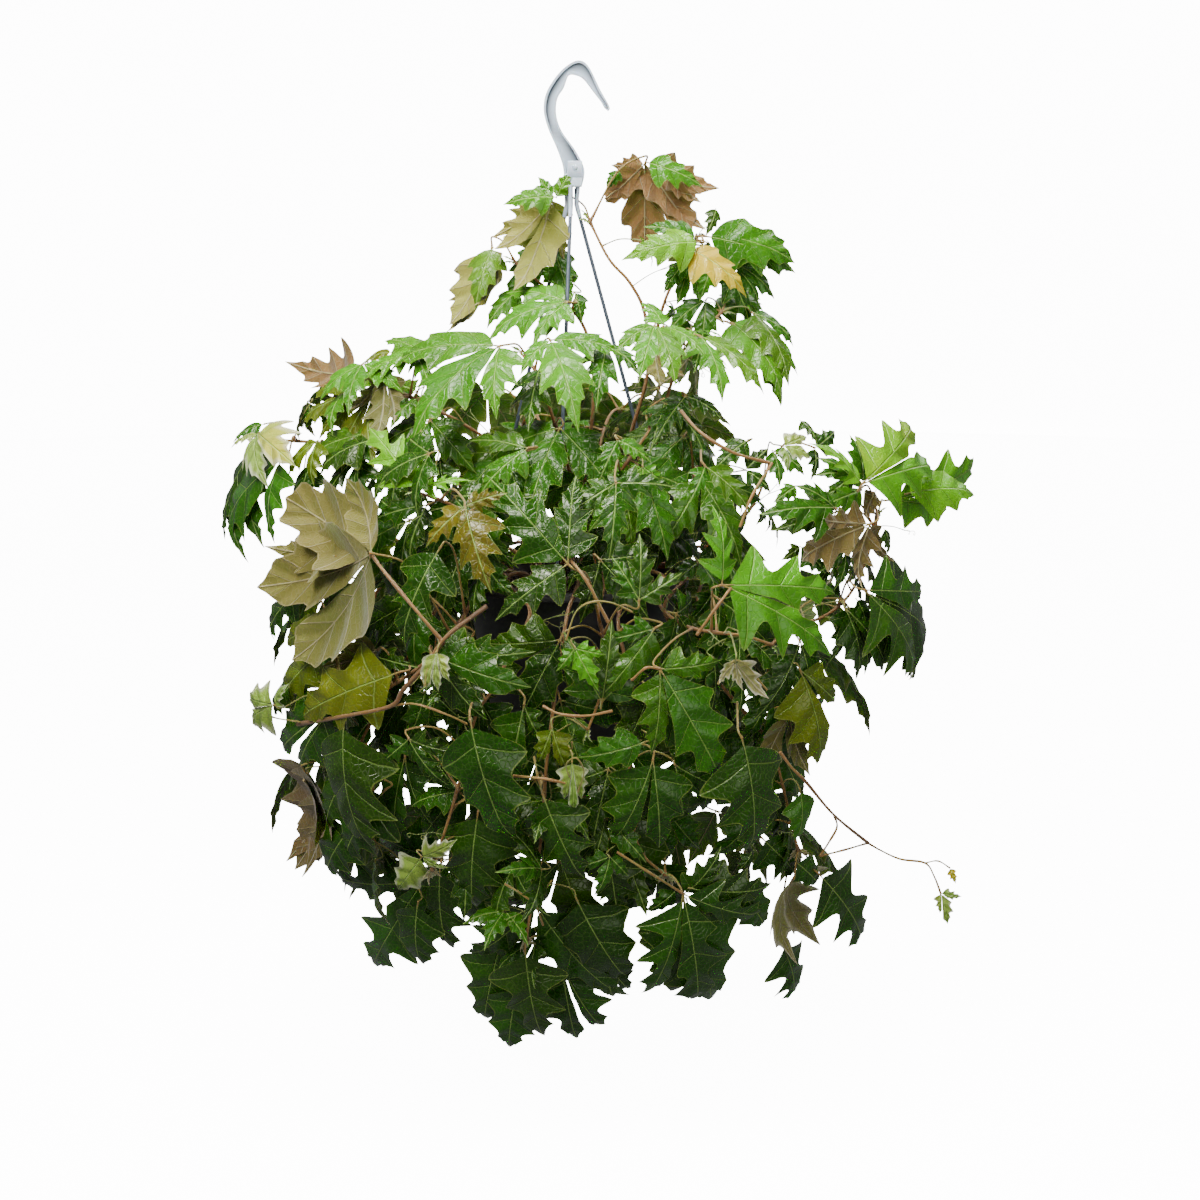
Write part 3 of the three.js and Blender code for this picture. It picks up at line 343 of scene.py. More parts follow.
def put_on(piece, group, values):
    """Puts a geometry group on a piece, with its inputs set by the identifiers of their sockets."""
    modifier = piece.modifiers.new(group.name, "NODES")
    modifier.node_group = group
    for item in group.interface.items_tree:
        if item.in_out == "INPUT" and item.name in values:
            modifier[item.identifier] = values[item.name]


def tubes(name, lines, finish, sides=8, bend=0.0):
    """Lines of (x, y, z, radius) rows in metres as one mesh of tubes."""
    curve = bpy.data.curves.new(name, "CURVE")
    curve.dimensions = "3D"
    for line in lines:
        line = np.asarray(line, float)
        points = curve.splines.new("POLY").points
        points.add(len(line) - 1)
        points.foreach_set("co", np.column_stack([line[:, :3], np.ones(len(line))]).ravel())
        points.foreach_set("radius", line[:, 3])
    guide = linked(name + "_line", curve)
    put_on(guide, tube, {"Sides": sides, "Bend": bend, "Finish": finish})
    mesh = plain_mesh(guide)
    bpy.data.objects.remove(guide)
    mesh.name = name
    return linked(name, mesh)


for side, bearing in STRAND_BEARINGS.items():
    line = [(*on_bearing(bearing, radius / 1000, z / 1000), STRAND_RADIUS) for radius, z in STRAND_LINE]
    strand = tubes("strand_" + side, [line], slate_plastic, sides=14, bend=0.006)
    foot, out = on_bearing(bearing, 0.1, 0), on_bearing(bearing, 1, 0)
    along = on_bearing(bearing + 90, 1, 0)
    clip_points = [foot + a * CLIP_LONG * along * s + b * CLIP_WIDE * out * s + np.array([0, 0, z])
        for z, s in CLIP_ROWS for a, b in ((-1, -1), (1, -1), (1, 1), (-1, 1))]
    clip = ringed("clip", clip_points, 4, slate_plastic)
    eased(clip, 0.0004)
    strand = joined("strand_" + side, [strand, clip])
    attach(strand, "root")
    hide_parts("hanger_strand_" + side)
collars = tubes("hook_collars", [[(*on_bearing(bearing, radius, z), r) for radius, z, r in COLLAR]
    for bearing in STRAND_BEARINGS.values()], pale_plastic, sides=14)
hook = joined("hook", [bar, grip, plate, boss, collars])
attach(hook, "root")
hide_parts("hanger_hook")

# ------------------------------------------------------------------ pot
# A thin-walled tapered pot, injection moulded in anthracite plastic: turned-out rim with a skirt, a
# step under it, four drain holes and a ring foot.

POT_SIDES, POT_STEPS = 96, 1
# Radius and height in millimetres, from the middle of the bottom, up the outside and down the inside.
POT_PROFILE = [(0, -588), (60, -588), (62, -590), (67, -590), (68.2, -588.4), (71, -575), (90.4, -475),
    (91.4, -474), (92.8, -466), (96.4, -444.5), (97.4, -442.6), (102, -442.3), (103, -443), (103.2, -446.6),
    (104, -447), (104.7, -446.6), (105, -441.6), (104.2, -440.3), (102.6, -440), (96.6, -440),
    (95.4, -440.8), (94.8, -443), (66.4, -585.4), (64.8, -587), (0, -587)]
DRAIN_BEARINGS, DRAIN_CIRCLE, DRAIN_RADIUS = (45, 135, 225, 315), 0.044, 0.004
DRILL_LOW, DRILL_HIGH = -0.6, -0.58
anthracite = plastic("anthracite plastic", "#2b2d33", 0.35, 0.38)


def turned(name, profile, sides, finish):
    """A body of revolution about the upright axis from its radius and height rows in metres."""
    points, rings, faces = [], [], []
    for radius, z in profile:
        places = range(sides if radius else 1)
        rings.append([len(points) + k for k in places])
        points += [tuple(on_bearing(360 * k / sides, radius, z)) for k in places]
    for low, high in zip(rings, rings[1:]):
        for k in range(sides):
            n = (k + 1) % sides
            face = [low[k % len(low)], low[n % len(low)], high[n % len(high)], high[k % len(high)]]
            faces.append(tuple(dict.fromkeys(face)))
    return outward(mesh_piece(name, points, faces, [finish]))


pot = turned("pot_shell", smooth_rows(POT_PROFILE, POT_STEPS) / 1000, POT_SIDES, anthracite)
drills = []
for bearing in DRAIN_BEARINGS:
    drills.append(turned("drill", [(0, DRILL_LOW), (DRAIN_RADIUS, DRILL_LOW), (DRAIN_RADIUS, DRILL_HIGH),
        (0, DRILL_HIGH)], 20, anthracite))
    for vertex in drills[-1].data.vertices:
        vertex.co += Vector(on_bearing(bearing, DRAIN_CIRCLE, 0))
drill = joined("drills", drills)
cut = pot.modifiers.new("drain holes", "BOOLEAN")
cut.object = drill
cut.solver = "EXACT"
settle(pot)
bpy.data.objects.remove(drill)
pot.data.set_sharp_from_angle(angle=math.radians(40))
pot.name = "hanging_pot"
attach(pot, "root")
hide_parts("pot")

# ------------------------------------------------------------------ soil
# Peat potting soil, filled to just under the rim and slightly crowned: dark crumbs lie loose on its top.

SOIL_TOP, SOIL_RISE, SOIL_REACH, SPOKES = -0.452, 0.005, 0.090, 24
peat, p_tree, p_body = new_finish("peat")
crumbly, patches = clouds(p_tree, 260, 6, Roughness=0.7), clouds(p_tree, 40, 3)
grains = node(p_tree, "TexVoronoi", {"Vector": place_in(p_tree), "Scale": 420})["Distance"]
p_colour = ramp(crumbly, [(0.25, "#140d08"), (0.5, "#2c1c11"), (0.75, "#553a24")])
feed(p_body, {"Base Color": blend(sums("MULTIPLY", patches, 0.5), p_colour, "#241a12"),
    "Roughness": sums("MULTIPLY_ADD", patches, -0.25, 1.0),
    "Normal": relief(sums("ADD", crumbly, grains), 0.9, 0.002)})
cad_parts["soil"].data.materials.clear()
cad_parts["soil"].data.materials.append(peat)

# Crumbs in so many to the square metre, each a lump of its own size, stretch and turn.
crumbs, c_in, c_out = new_group("crumbs on a disc", [("Disc", "Geometry"), ("Crumbs", "Float", 60000.0),
    ("Smallest", "Float", 0.0006), ("Largest", "Float", 0.0026), ("Finish", "Material")],
    [("Crumbs", "Geometry")], "GeometryNodeTree")
spots = node(crumbs, "GeometryNodeDistributePointsOnFaces", {"Mesh": c_in["Disc"], "Density": c_in["Crumbs"],
    "Seed": 11})
lump = node(crumbs, "GeometryNodeMeshIcoSphere", {"Radius": 1.0, "Subdivisions": 1})
size = node(crumbs, "FunctionNodeRandomValue", {2: c_in["Smallest"], 3: c_in["Largest"], "Seed": 12},
    data_type="FLOAT")
stretch, turn = [node(crumbs, "FunctionNodeRandomValue", {0: least, 1: most, "Seed": seed},
    data_type="FLOAT_VECTOR") for least, most, seed in
    (((0.6, 0.6, 0.5), (1.5, 1.1, 0.9), 13), ((0, 0, 0), (6.28, 6.28, 6.28), 14))]
sized = node(crumbs, "VectorMath", {0: stretch[0], "Scale": size[1]}, operation="SCALE")
laid = node(crumbs, "GeometryNodeInstanceOnPoints", {"Points": spots[0], "Instance": lump[0],
    "Rotation": turn[0], "Scale": sized[0]})
real = node(crumbs, "GeometryNodeRealizeInstances", {"Geometry": laid[0]})
coated = node(crumbs, "GeometryNodeSetMaterial", {"Geometry": real[0], "Material": c_in["Finish"]})
feed(c_out, {0: coated[0]})
disc_points = [(0, 0, SOIL_TOP + SOIL_RISE)]
for radius, rise in ((0.03, SOIL_RISE), (0.066, 0.6 * SOIL_RISE), (SOIL_REACH, 0.0002)):
    disc_points += [tuple(on_bearing(360 / SPOKES * k, radius, SOIL_TOP + rise)) for k in range(SPOKES)]
disc_faces = [(0, 1 + k, 1 + (k + 1) % SPOKES) for k in range(SPOKES)]
disc_faces += [(a + k, a + SPOKES + k, a + SPOKES + (k + 1) % SPOKES, a + (k + 1) % SPOKES)
    for a in (1, 1 + SPOKES) for k in range(SPOKES)]
soil_crumbs = mesh_piece("soil_crumbs", disc_points, disc_faces, [peat])
put_on(soil_crumbs, crumbs, {"Finish": peat})
settle(soil_crumbs)
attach(soil_crumbs, "root")

# ------------------------------------------------------------------ where the shoots grow
# Every shoot roots in the soil, some pass over the rim, and each leaf hangs from its stem on a long
# stalk. Sizes here are in millimetres. A station is (across, down) on a square sheet seen from the
# front and a depth behind the hook.

SHEET = 1200
SHEET_UNIT = 0.9
SHEET_CENTRE = np.array([25.0, 0.0, -463.0])
EYE_DISTANCE, EYE_RISE = 2300.0, math.radians(10)
# Down the sheet: the crown's half width there and how far its front stands out from the middle.
CROWN_AXIS = 580
CROWN = np.array([[150, 120, 10], [250, 180, 35], [320, 215, 75], [380, 260, 135], [440, 320, 185],
    [520, 350, 220], [600, 350, 235], [700, 340, 235], [800, 310, 210], [900, 260, 165], [1000, 190, 105],
    [1060, 120, 60]], float)
RIM_RADIUS, RIM_TOP, SOIL_LEVEL = 105, -440, -452
STEM_RADIUS, PETIOLE_RADIUS = 2.3, 1.3
# A stem's first points over the soil, then those outside the rim's radius and over its top where it passes.
STEM_RISES, OVER_RIM = (-25.65, -13, 5, 15), ((-14, 15), (16, 12))
LIGHTWARD, FACING_PULL = 0.25, 0.6
SIDE_TURN, SIDE_LENGTH, SIDE_DROOP = math.radians(56), 0.84, 0.16
KNEE_BACK, KNEE_UNDER = 7, 4
STEP_BACK = 7
SKY = np.array([0.0, 0.0, 1.0])
# The colour of a leaf by its letter, as youth, bronze and white fringe: dark, middle, bright, lime, olive
# (o, e), yellow-green (g), bronze (z and the darker k), young (y) and fringed (w), and q and x for olive and
# bronze leaves with broad, smooth leaflets. A capital marks a large leaf with narrow, finger-like lobes, or a
# small one without a stalk, broad where it is Q.
TINTS = {"d": (.08, 0, 0), "m": (.26, 0, 0), "b": (.5, 0, 0), "l": (.76, 0, 0), "o": (.48, .3, 0),
    "e": (.3, .3, 0), "g": (.85, .12, 0), "z": (.3, .9, 0), "k": (.15, .6, 0), "y": (1.0, .45, 0),
    "w": (.78, .2, .6), "q": (.48, .3, 0), "x": (.3, .9, 0)}
# Each shoot: where it roots as bearing and radius, the bearing at which it passes over the rim, the stations
# of its stem, and its leaves. A large or small leaf is its letter, its foot, how far it lies behind the
# crown's front, which face it shows, and its leaflets' tips, some with how much further back they lie. An inner
# leaf is its foot, how far behind, and its middle tip. A twig is a stalk or woody joint that lies open on the
# foliage: its thickness, and places on the sheet with how far each lies behind the crown's front.
SHOOTS = {
    "crown_left": dict(root=(60, 8),
        stem=[(612, 500, 0), (632, 430, 0), (648, 370, 0), (645, 315, 0), (630, 283, 0), (609, 259, 0),
            (590, 222, 5)],
        leaves=[("G", 552, 198, 30, -1, (494, 238, 20), (514, 290, 30), (564, 263, 20)),
            ("x", 645, 164, 30, -1, (606, 202, 10), (645, 247, 30), (692, 230, 10))],
        small=[("B", 646, 162, 12, 1, (703, 186)), ("B", 557, 197, 14, 1, (503, 204)), ("B", 556, 198, 14, 1,
            (572, 170)), ("B", 552, 198, 16, 1, (538, 176)), ("G", 552, 200, 26, -1, (496, 252), (516, 294)),
            ("Z", 645, 166, 34, -1, (704, 232), (718, 190)), ("Z", 645, 164, 36, -1, (604, 200), (611, 166)),
            ("M", 552, 246, 60, 1, (506, 300), (572, 304)), ("M", 620, 170, 30, 1, (606, 190))]),
    "upper_left": dict(root=(-75, 14),
        stem=[(578, 500, -20), (592, 420, -20), (592, 360, -15), (580, 320, -10), (548, 290, 0),
            (515, 262, 10)],
        leaves=[("o", 492, 246, 50, -1, (450, 335, 20), (477, 309, -10)), ("b", 568, 302, 40, 1, (532, 344),
            (485, 337, 10), (506, 292, 20))],
        small=[("B", 493, 247, 40, 1, (475, 308)), ("G", 492, 248, 56, -1, (450, 326)), ("b", 575, 285, 60, 1,
            (530, 268), (560, 262)), ("M", 575, 292, 60, 1, (582, 322), (546, 334)), ("M", 520, 290, 60, 1,
            (486, 326))]),
    "crown_right": dict(root=(80, 28),
        stem=[(625, 500, 0), (645, 440, 10), (660, 380, 15), (657, 335, 20), (666, 298, 20), (684, 262, 25),
            (697, 238, 25)],
        leaves=[("m", 705, 236, 30, 1, (797, 272, 10)), ("m", 697, 240, 20, 1, (648, 246, 10)),
            ("y", 688, 248, 0, 1, (748, 294, -10)), ("m", 713, 252, 50, 1, (777, 297), (752, 330, 10))],
        small=[("b", 690, 262, 60, 1, (677, 304), (700, 303)), ("L", 700, 242, -6, 1, (622, 258)),
            ("M", 697, 238, 12, 1, (644, 226)), ("M", 712, 234, 34, 1, (796, 262)), ("b", 712, 262, 40, 1,
            (700, 300)), ("m", 736, 268, 50, 1, (760, 304)), ("Z", 664, 168, 32, -1, (700, 204)),
            ("M", 716, 208, 30, 1, (706, 236)), ("M", 752, 232, 44, 1, (794, 262), (778, 274)),
            ("m", 684, 262, 50, 1, (664, 292))]),
    "upper_right": dict(root=(45, 38),
        stem=[(640, 510, -40), (652, 460, -40), (664, 410, -40), (676, 370, -35), (694, 340, -25),
            (722, 312, 0)],
        leaves=[("b", 664, 326, -20, 1, (641, 300, 20), (705, 352, -10)), ("b", 700, 336, 10, 1, (724, 398),
            (766, 390)), ("b", 728, 322, 40, 1, (783, 403), (801, 372, 10)), ("b", 712, 312, 70, 1,
            (764, 302))],
        small=[("b", 742, 288, 80, 1, (714, 312), (762, 328)), ("b", 655, 325, -28, 1, (616, 350), (640, 376),
            (676, 380)), ("m", 706, 300, 60, 1, (668, 330), (700, 352)), ("o", 655, 350, 60, -1, (662, 388),
            (686, 378)), ("B", 730, 322, 30, 1, (800, 366), (786, 398)), ("M", 752, 312, 24, 1, (796, 344),
            (790, 384)), ("M", 702, 340, 50, 1, (694, 372))]),
    "middle_top": dict(root=(-20, 34),
        stem=[(575, 505, -60), (566, 460, -75), (552, 415, -80), (538, 375, -70), (520, 352, -50)],
        leaves=[("b", 500, 346, 0, 1, (494, 412), (408, 436), (386, 362)), ("b", 550, 340, 0, 1, (624, 352),
            (578, 424), (520, 372)), ("d", 540, 368, 60, 1, (528, 430)), ("m", 607, 345, 20, 1, (640, 374),
            (596, 408))],
        inner=[(560, 428, 60, 528, 516), (505, 452, 70, 452, 520)]),
    "left_high": dict(root=(-100, 36),
        stem=[(535, 500, -10), (505, 455, -25), (465, 425, -35), (420, 402, -35), (385, 385, -25),
            (355, 376, -15)],
        leaves=[("z", 354, 372, 20, -1, (293, 366, 20), (326, 403, 30)), ("e", 384, 372, 20, -1,
            (350, 412, 20), (374, 442, 20), (396, 424, 20)), ("b", 417, 353, 20, 1, (432, 388), (358, 380)),
            ("m", 350, 412, 60, 1, (296, 420)), ("m", 373, 432, 50, 1, (355, 478), (302, 462))],
        inner=[(430, 420, 60, 400, 500)],
        small=[("b", 344, 392, 30, 1, (330, 432)), ("e", 352, 396, 44, 1, (298, 424), (318, 386)),
            ("m", 418, 398, 44, 1, (390, 428)), ("b", 428, 356, 28, 1, (384, 340)), ("e", 372, 398, 50, 1,
            (316, 436), (340, 470), (372, 466)), ("e", 392, 352, 50, 1, (362, 364)), ("d", 420, 440, 50, 1,
            (434, 466))]),
    "left_far": dict(root=(-88, 62),
        stem=[(495, 520, 0), (452, 480, -10), (405, 458, -20), (355, 446, -20), (310, 442, -15),
            (278, 440, -10)],
        leaves=[("w", 258, 434, 0, 1, (230, 446), (264, 484), (291, 462)), ("m", 281, 460, 10, 1, (226, 541),
            (272, 543)), ("d", 312, 462, 50, 1, (302, 528)), ("d", 360, 455, 50, 1, (325, 500), (356, 530))],
        small=[("d", 262, 440, 30, 1, (224, 536), (258, 546)), ("m", 264, 424, 26, 1, (232, 442)),
            ("d", 372, 440, 44, 1, (316, 474)), ("D", 246, 470, 24, 1, (222, 540), (240, 560)),
            ("D", 404, 456, 48, 1, (372, 500), (392, 514)), ("E", 318, 440, 40, 1, (286, 476), (312, 486)),
            ("D", 440, 462, 44, 1, (422, 486), (450, 502))]),
    "left_front": dict(root=(-45, 56), over=-42,
        stem=[(486, 540, -130), (462, 512, -160), (440, 500, -175), (422, 494, -180)],
        leaves=[("L", 420, 490, 0, 1, (366, 423), (470, 478)), ("k", 465, 506, -20, 1, (424, 547), (491, 593),
            (507, 492)), ("d", 427, 505, 20, 1, (372, 520), (408, 556)), ("m", 528, 448, 45, 1, (470, 440),
            (478, 494))],
        inner=[(470, 540, 60, 440, 620), (410, 520, 70, 350, 560)]),
    "left_low": dict(root=(-62, 66), over=-62,
        stem=[(470, 600, -125), (452, 632, -150), (425, 662, -160), (388, 688, -160), (345, 706, -150)],
        leaves=[("q", 371, 554, 0, -1, (352, 480, 15), (266, 588, 15), (298, 660, 15)), ("d", 440, 548, 30, 1,
            (400, 648)), ("d", 302, 588, 60, 1, (268, 640)), ("e", 378, 650, 30, -1, (322, 668)),
            ("E", 400, 672, 10, 1, (296, 720)), ("m", 345, 672, 60, 1, (320, 740)), ("d", 436, 658, 20, 1,
            (534, 652), (470, 716))],
        inner=[(420, 600, 70, 352, 640), (372, 690, 60, 330, 780), (470, 640, 50, 450, 730)],
        small=[("d", 434, 655, 14, 1, (530, 688), (486, 722)), ("d", 410, 690, 75, 1, (375, 750), (412, 765),
            (448, 745)), ("w", 437, 652, -10, 1, (425, 690), (438, 692), (449, 682)), ("w", 275, 705, 0, 1,
            (248, 695), (252, 722), (285, 684)), ("Q", 370, 553, 12, -1, (290, 500)), ("O", 336, 556, 18, -1,
            (270, 548)), ("e", 325, 650, 30, 1, (282, 702)), ("d", 334, 708, 20, 1, (280, 752), (300, 772)),
            ("e", 320, 626, 34, 1, (284, 644)), ("d", 290, 686, 20, 1, (274, 716))],
        twigs=[(1.9, (371, 554, 0), (386, 574, -8), (414, 608, -10), (442, 641, -2)), (2.3, (298, 724, 8),
            (345, 716, -4), (391, 706, -8), (403, 690, -8), (428, 662, -6), (447, 636, -2), (487, 606, 12)),
            (1.2, (391, 706, -6), (415, 704, -8), (448, 715, -6), (467, 724, 4)), (0.9, (442, 641, -4),
            (428, 668, -12), (425, 686, -14)), (1.0, (300, 722, 2), (270, 716, -2), (252, 700, 0))]),
    "front_left": dict(root=(-28, 70), over=-28,
        stem=[(530, 610, -150), (512, 650, -165), (492, 690, -175), (476, 715, -180), (464, 765, -178),
            (450, 815, -165), (432, 870, -150)],
        leaves=[("d", 470, 720, -10, 1, (514, 846)), ("d", 478, 812, 20, 1, (474, 912)),
            ("d", 409, 739, 10, 1, (382, 762), (448, 786), (459, 752)), ("d", 405, 757, 40, 1, (397, 842),
            (432, 826)), ("d", 440, 866, 40, 1, (452, 953)), ("D", 424, 880, 60, 1, (326, 872), (372, 970)),
            ("d", 524, 705, 30, 1, (508, 790), (543, 742))],
        inner=[(470, 780, 60, 420, 840), (450, 860, 60, 400, 930)],
        small=[("w", 422, 857, 0, 1, (396, 892), (448, 868), (456, 841)), ("d", 480, 700, 80, 1, (450, 760),
            (485, 775), (520, 755)), ("d", 506, 846, 50, 1, (498, 906))]),
    "far_left_low": dict(root=(-74, 50), over=-76,
        stem=[(440, 600, -90), (412, 650, -110), (384, 700, -115), (358, 750, -115), (352, 800, -110),
            (372, 840, -100)],
        leaves=[("d", 344, 721, 0, 1, (373, 856)), ("K", 304, 770, 10, -1, (308, 874)), ("d", 385, 790, 50, 1,
            (345, 860))],
        small=[("k", 308, 772, 14, -1, (298, 868)), ("d", 346, 776, 24, 1, (328, 830)), ("d", 352, 826, 24, 1,
            (328, 874)), ("d", 418, 902, 30, 1, (423, 966)), ("K", 304, 780, 20, -1, (294, 858))]),
    "front_middle": dict(root=(14, 40), over=14,
        stem=[(598, 612, -155), (606, 650, -175), (602, 690, -185), (588, 730, -185)],
        leaves=[("d", 568, 564, 0, 1, (494, 620), (489, 476), (575, 474)), ("d", 639, 600, 10, 1, (612, 556),
            (640, 533), (683, 572)), ("m", 655, 628, 20, 1, (600, 698), (606, 640))],
        inner=[(600, 560, 50, 650, 620), (560, 640, 50, 520, 720), (610, 650, 60, 640, 740)],
        small=[("b", 575, 648, 0, 1, (599, 692), (556, 672), (606, 655)), ("d", 545, 735, 80, 1, (500, 800),
            (548, 815), (590, 790)), ("d", 602, 702, 22, 1, (654, 642), (612, 620), (564, 632)),
            ("e", 552, 728, 10, 1, (568, 772), (538, 764))],
        twigs=[(1.7, (567, 556, 6), (586, 580, -4), (608, 622, 4)), (1.0, (632, 612, 2), (612, 603, -8),
            (592, 602, -10), (576, 612, -6), (566, 640, -4))]),
    "front_low": dict(root=(-6, 58), over=3,
        stem=[(568, 612, -150), (560, 660, -168), (553, 710, -175), (546, 770, -175), (542, 830, -165),
            (534, 890, -145), (526, 940, -130)],
        leaves=[("d", 543, 795, 0, 1, (586, 884)), ("d", 536, 905, 20, 1, (465, 958), (629, 1000)),
            ("d", 500, 945, 30, 1, (484, 1024)), ("d", 525, 950, 0, 1, (544, 1039)), ("d", 517, 985, 20, 1,
            (509, 1049)), ("d", 562, 965, 30, 1, (577, 1041), (606, 1030))],
        inner=[(560, 700, 50, 590, 790), (535, 780, 60, 492, 850), (560, 860, 50, 600, 940)],
        small=[("w", 572, 762, 0, 1, (574, 812), (564, 800), (582, 800)), ("d", 572, 742, 20, 1, (574, 728)),
            ("d", 620, 735, 85, 1, (585, 800), (625, 815), (665, 790)), ("d", 575, 810, 75, 1, (540, 865),
            (580, 880), (620, 860)), ("d", 576, 898, 18, 1, (632, 984)), ("d", 500, 926, 30, 1, (512, 966)),
            ("D", 560, 920, 26, 1, (536, 962)), ("D", 600, 950, 26, 1, (632, 992), (614, 1000))],
        twigs=[(1.5, (543, 706, 0), (560, 714, -8), (585, 716, -8), (612, 711, 2)), (1.5, (513, 776, 2),
            (538, 778, -8), (560, 782, -6), (575, 786, 4)), (1.1, (534, 756, 0), (538, 778, -7),
            (545, 800, 4)), (0.8, (574, 786, 0), (566, 766, -8), (576, 758, -10), (584, 772, -8),
            (578, 792, -4)), (1.2, (505, 884, 2), (520, 893, -8), (535, 905, -8), (543, 925, 0)), (0.9,
            (535, 905, -8), (552, 880, -2))]),
    "front_right_low": dict(root=(24, 62), over=26,
        stem=[(618, 620, -150), (630, 680, -172), (632, 740, -178), (628, 800, -170), (640, 850, -155),
            (665, 875, -140)],
        leaves=[("d", 653, 760, 15, 1, (612, 845), (660, 850)), ("d", 608, 850, 30, 1, (618, 917)),
            ("D", 683, 894, 0, 1, (770, 914), (697, 1010), (644, 1000)), ("d", 675, 765, 30, 1, (683, 818),
            (728, 790))],
        inner=[(650, 690, 50, 700, 760), (620, 800, 50, 650, 890), (660, 860, 60, 600, 920)],
        small=[("m", 645, 742, 10, 1, (576, 758)), ("d", 700, 735, 80, 1, (668, 800), (705, 815), (742, 785)),
            ("d", 660, 800, 80, 1, (630, 850), (665, 865), (700, 850)), ("D", 688, 888, 8, 1, (774, 886)),
            ("D", 684, 894, 12, 1, (722, 848)), ("D", 686, 898, 14, 1, (712, 1004)), ("D", 684, 900, 18, 1,
            (674, 1000)), ("D", 736, 884, 14, 1, (766, 928)), ("D", 676, 890, 20, 1, (644, 912)),
            ("D", 752, 852, 26, 1, (736, 872))],
        twigs=[(1.4, (617, 852, 6), (650, 873, -4), (682, 893, 0))]),
    "right_low": dict(root=(52, 58), over=58,
        stem=[(664, 610, -110), (700, 660, -130), (738, 705, -130), (770, 745, -115), (785, 795, -100),
            (798, 850, -85)],
        leaves=[("d", 742, 738, 0, 1, (750, 858)), ("e", 790, 715, 40, -1, (760, 790), (808, 774)),
            ("d", 762, 838, 40, 1, (798, 876)), ("W", 792, 880, 20, -1, (788, 958), (812, 940)),
            ("D", 782, 945, 30, 1, (788, 1001)), ("D", 818, 873, 10, 1, (861, 948))],
        inner=[(760, 720, 60, 800, 800), (770, 790, 60, 710, 860)],
        small=[("m", 800, 790, 30, 1, (795, 842)), ("Y", 950, 868, 0, 1, (956, 884)), ("W", 941, 893, 0, 1,
            (948, 925), (962, 897), (940, 914)), ("e", 800, 670, 30, 1, (838, 704), (820, 766)),
            ("D", 796, 862, 20, 1, (818, 884))],
        twigs=[(1.7, (780, 752, 4), (792, 768, -2), (806, 782, -4), (834, 815, 0), (868, 843, -4)), (1.3,
            (834, 815, 0), (837, 827, -2), (829, 842, -2), (820, 856, 4)), (1.3, (820, 856, 4),
            (844, 850, -3), (868, 843, -4)), (1.25, (868, 843, -4), (880, 850, -5), (900, 859, -5),
            (925, 863, -4), (934, 876, -2), (941, 894, 0)), (1.0, (925, 863, -4), (938, 861, -3),
            (950, 868, 0))]),
    "right_middle": dict(root=(40, 70), over=42,
        stem=[(660, 605, -130), (684, 625, -155), (712, 632, -165), (745, 636, -160), (772, 645, -150)],
        leaves=[("B", 722, 585, 0, 1, (716, 503), (836, 656), (843, 592, 20)), ("m", 660, 669, 0, 1,
            (652, 756), (724, 784), (724, 660)), ("d", 800, 640, 40, 1, (756, 720), (810, 720)),
            ("d", 845, 605, 40, 1, (858, 655))],
        inner=[(720, 600, 60, 780, 660), (700, 640, 70, 740, 730)],
        small=[("w", 735, 662, -10, -1, (767, 698), (718, 684), (742, 690)), ("d", 770, 690, 60, 1,
            (740, 745), (775, 760), (805, 735)), ("d", 845, 608, 26, 1, (886, 672), (858, 680)),
            ("D", 848, 606, 34, 1, (830, 664), (868, 676)), ("D", 800, 546, 40, 1, (826, 574), (782, 560)),
            ("M", 846, 548, 34, 1, (836, 590), (820, 572))],
        twigs=[(1.6, (731, 588, 0), (716, 608, -8), (697, 635, 2)), (1.4, (660, 669, 0), (646, 668, -8),
            (632, 680, 2)), (1.0, (718, 684, 4), (727, 666, -8), (742, 662, -8), (767, 690, -4))]),
    "right_far": dict(root=(70, 66), over=76,
        stem=[(700, 606, -75), (755, 618, -90), (808, 622, -90), (845, 600, -75), (866, 560, -60),
            (878, 515, -50)],
        leaves=[("L", 862, 484, 0, 1, (814, 440), (914, 419), (938, 465)), ("L", 892, 500, 20, 1, (981, 458),
            (952, 503)), ("m", 835, 508, 20, 1, (761, 513), (796, 484)), ("k", 870, 524, 10, -1, (820, 520),
            (796, 562), (858, 588)), ("M", 864, 590, 0, 1, (925, 592), (914, 681))],
        small=[("M", 862, 490, 24, 1, (820, 456), (818, 508)), ("M", 863, 484, 30, 1, (850, 434)),
            ("D", 868, 594, 18, 1, (926, 646)), ("D", 856, 598, 26, 1, (866, 640)), ("d", 836, 512, 50, 1,
            (774, 530), (802, 566)), ("K", 870, 526, 20, -1, (892, 562)), ("L", 905, 494, 20, 1, (976, 494)),
            ("M", 852, 476, 26, 1, (816, 474), (826, 496)), ("D", 884, 528, 26, 1, (888, 556)),
            ("D", 902, 640, 26, 1, (914, 680)), ("K", 876, 490, 24, -1, (866, 520))]),
    "right_upper": dict(root=(75, 44),
        stem=[(640, 520, -40), (672, 485, -60), (705, 490, -70), (735, 520, -70), (756, 500, -60),
            (770, 462, -45)],
        leaves=[("d", 815, 448, 50, 1, (812, 480), (836, 430)), ("d", 686, 396, 40, 1, (655, 440),
            (724, 420)), ("m", 705, 466, 20, 1, (690, 502), (752, 512))],
        inner=[(700, 480, 60, 742, 566), (684, 436, 84, 634, 496)],
        small=[("w", 783, 446, 0, 1, (788, 472), (812, 458), (808, 436)), ("d", 745, 470, 60, 1, (768, 448),
            (772, 492)), ("d", 748, 440, 56, 1, (714, 470)), ("M", 772, 450, 40, 1, (780, 486), (806, 474)),
            ("M", 796, 486, 40, 1, (774, 502)), ("D", 800, 420, 30, 1, (818, 444))],
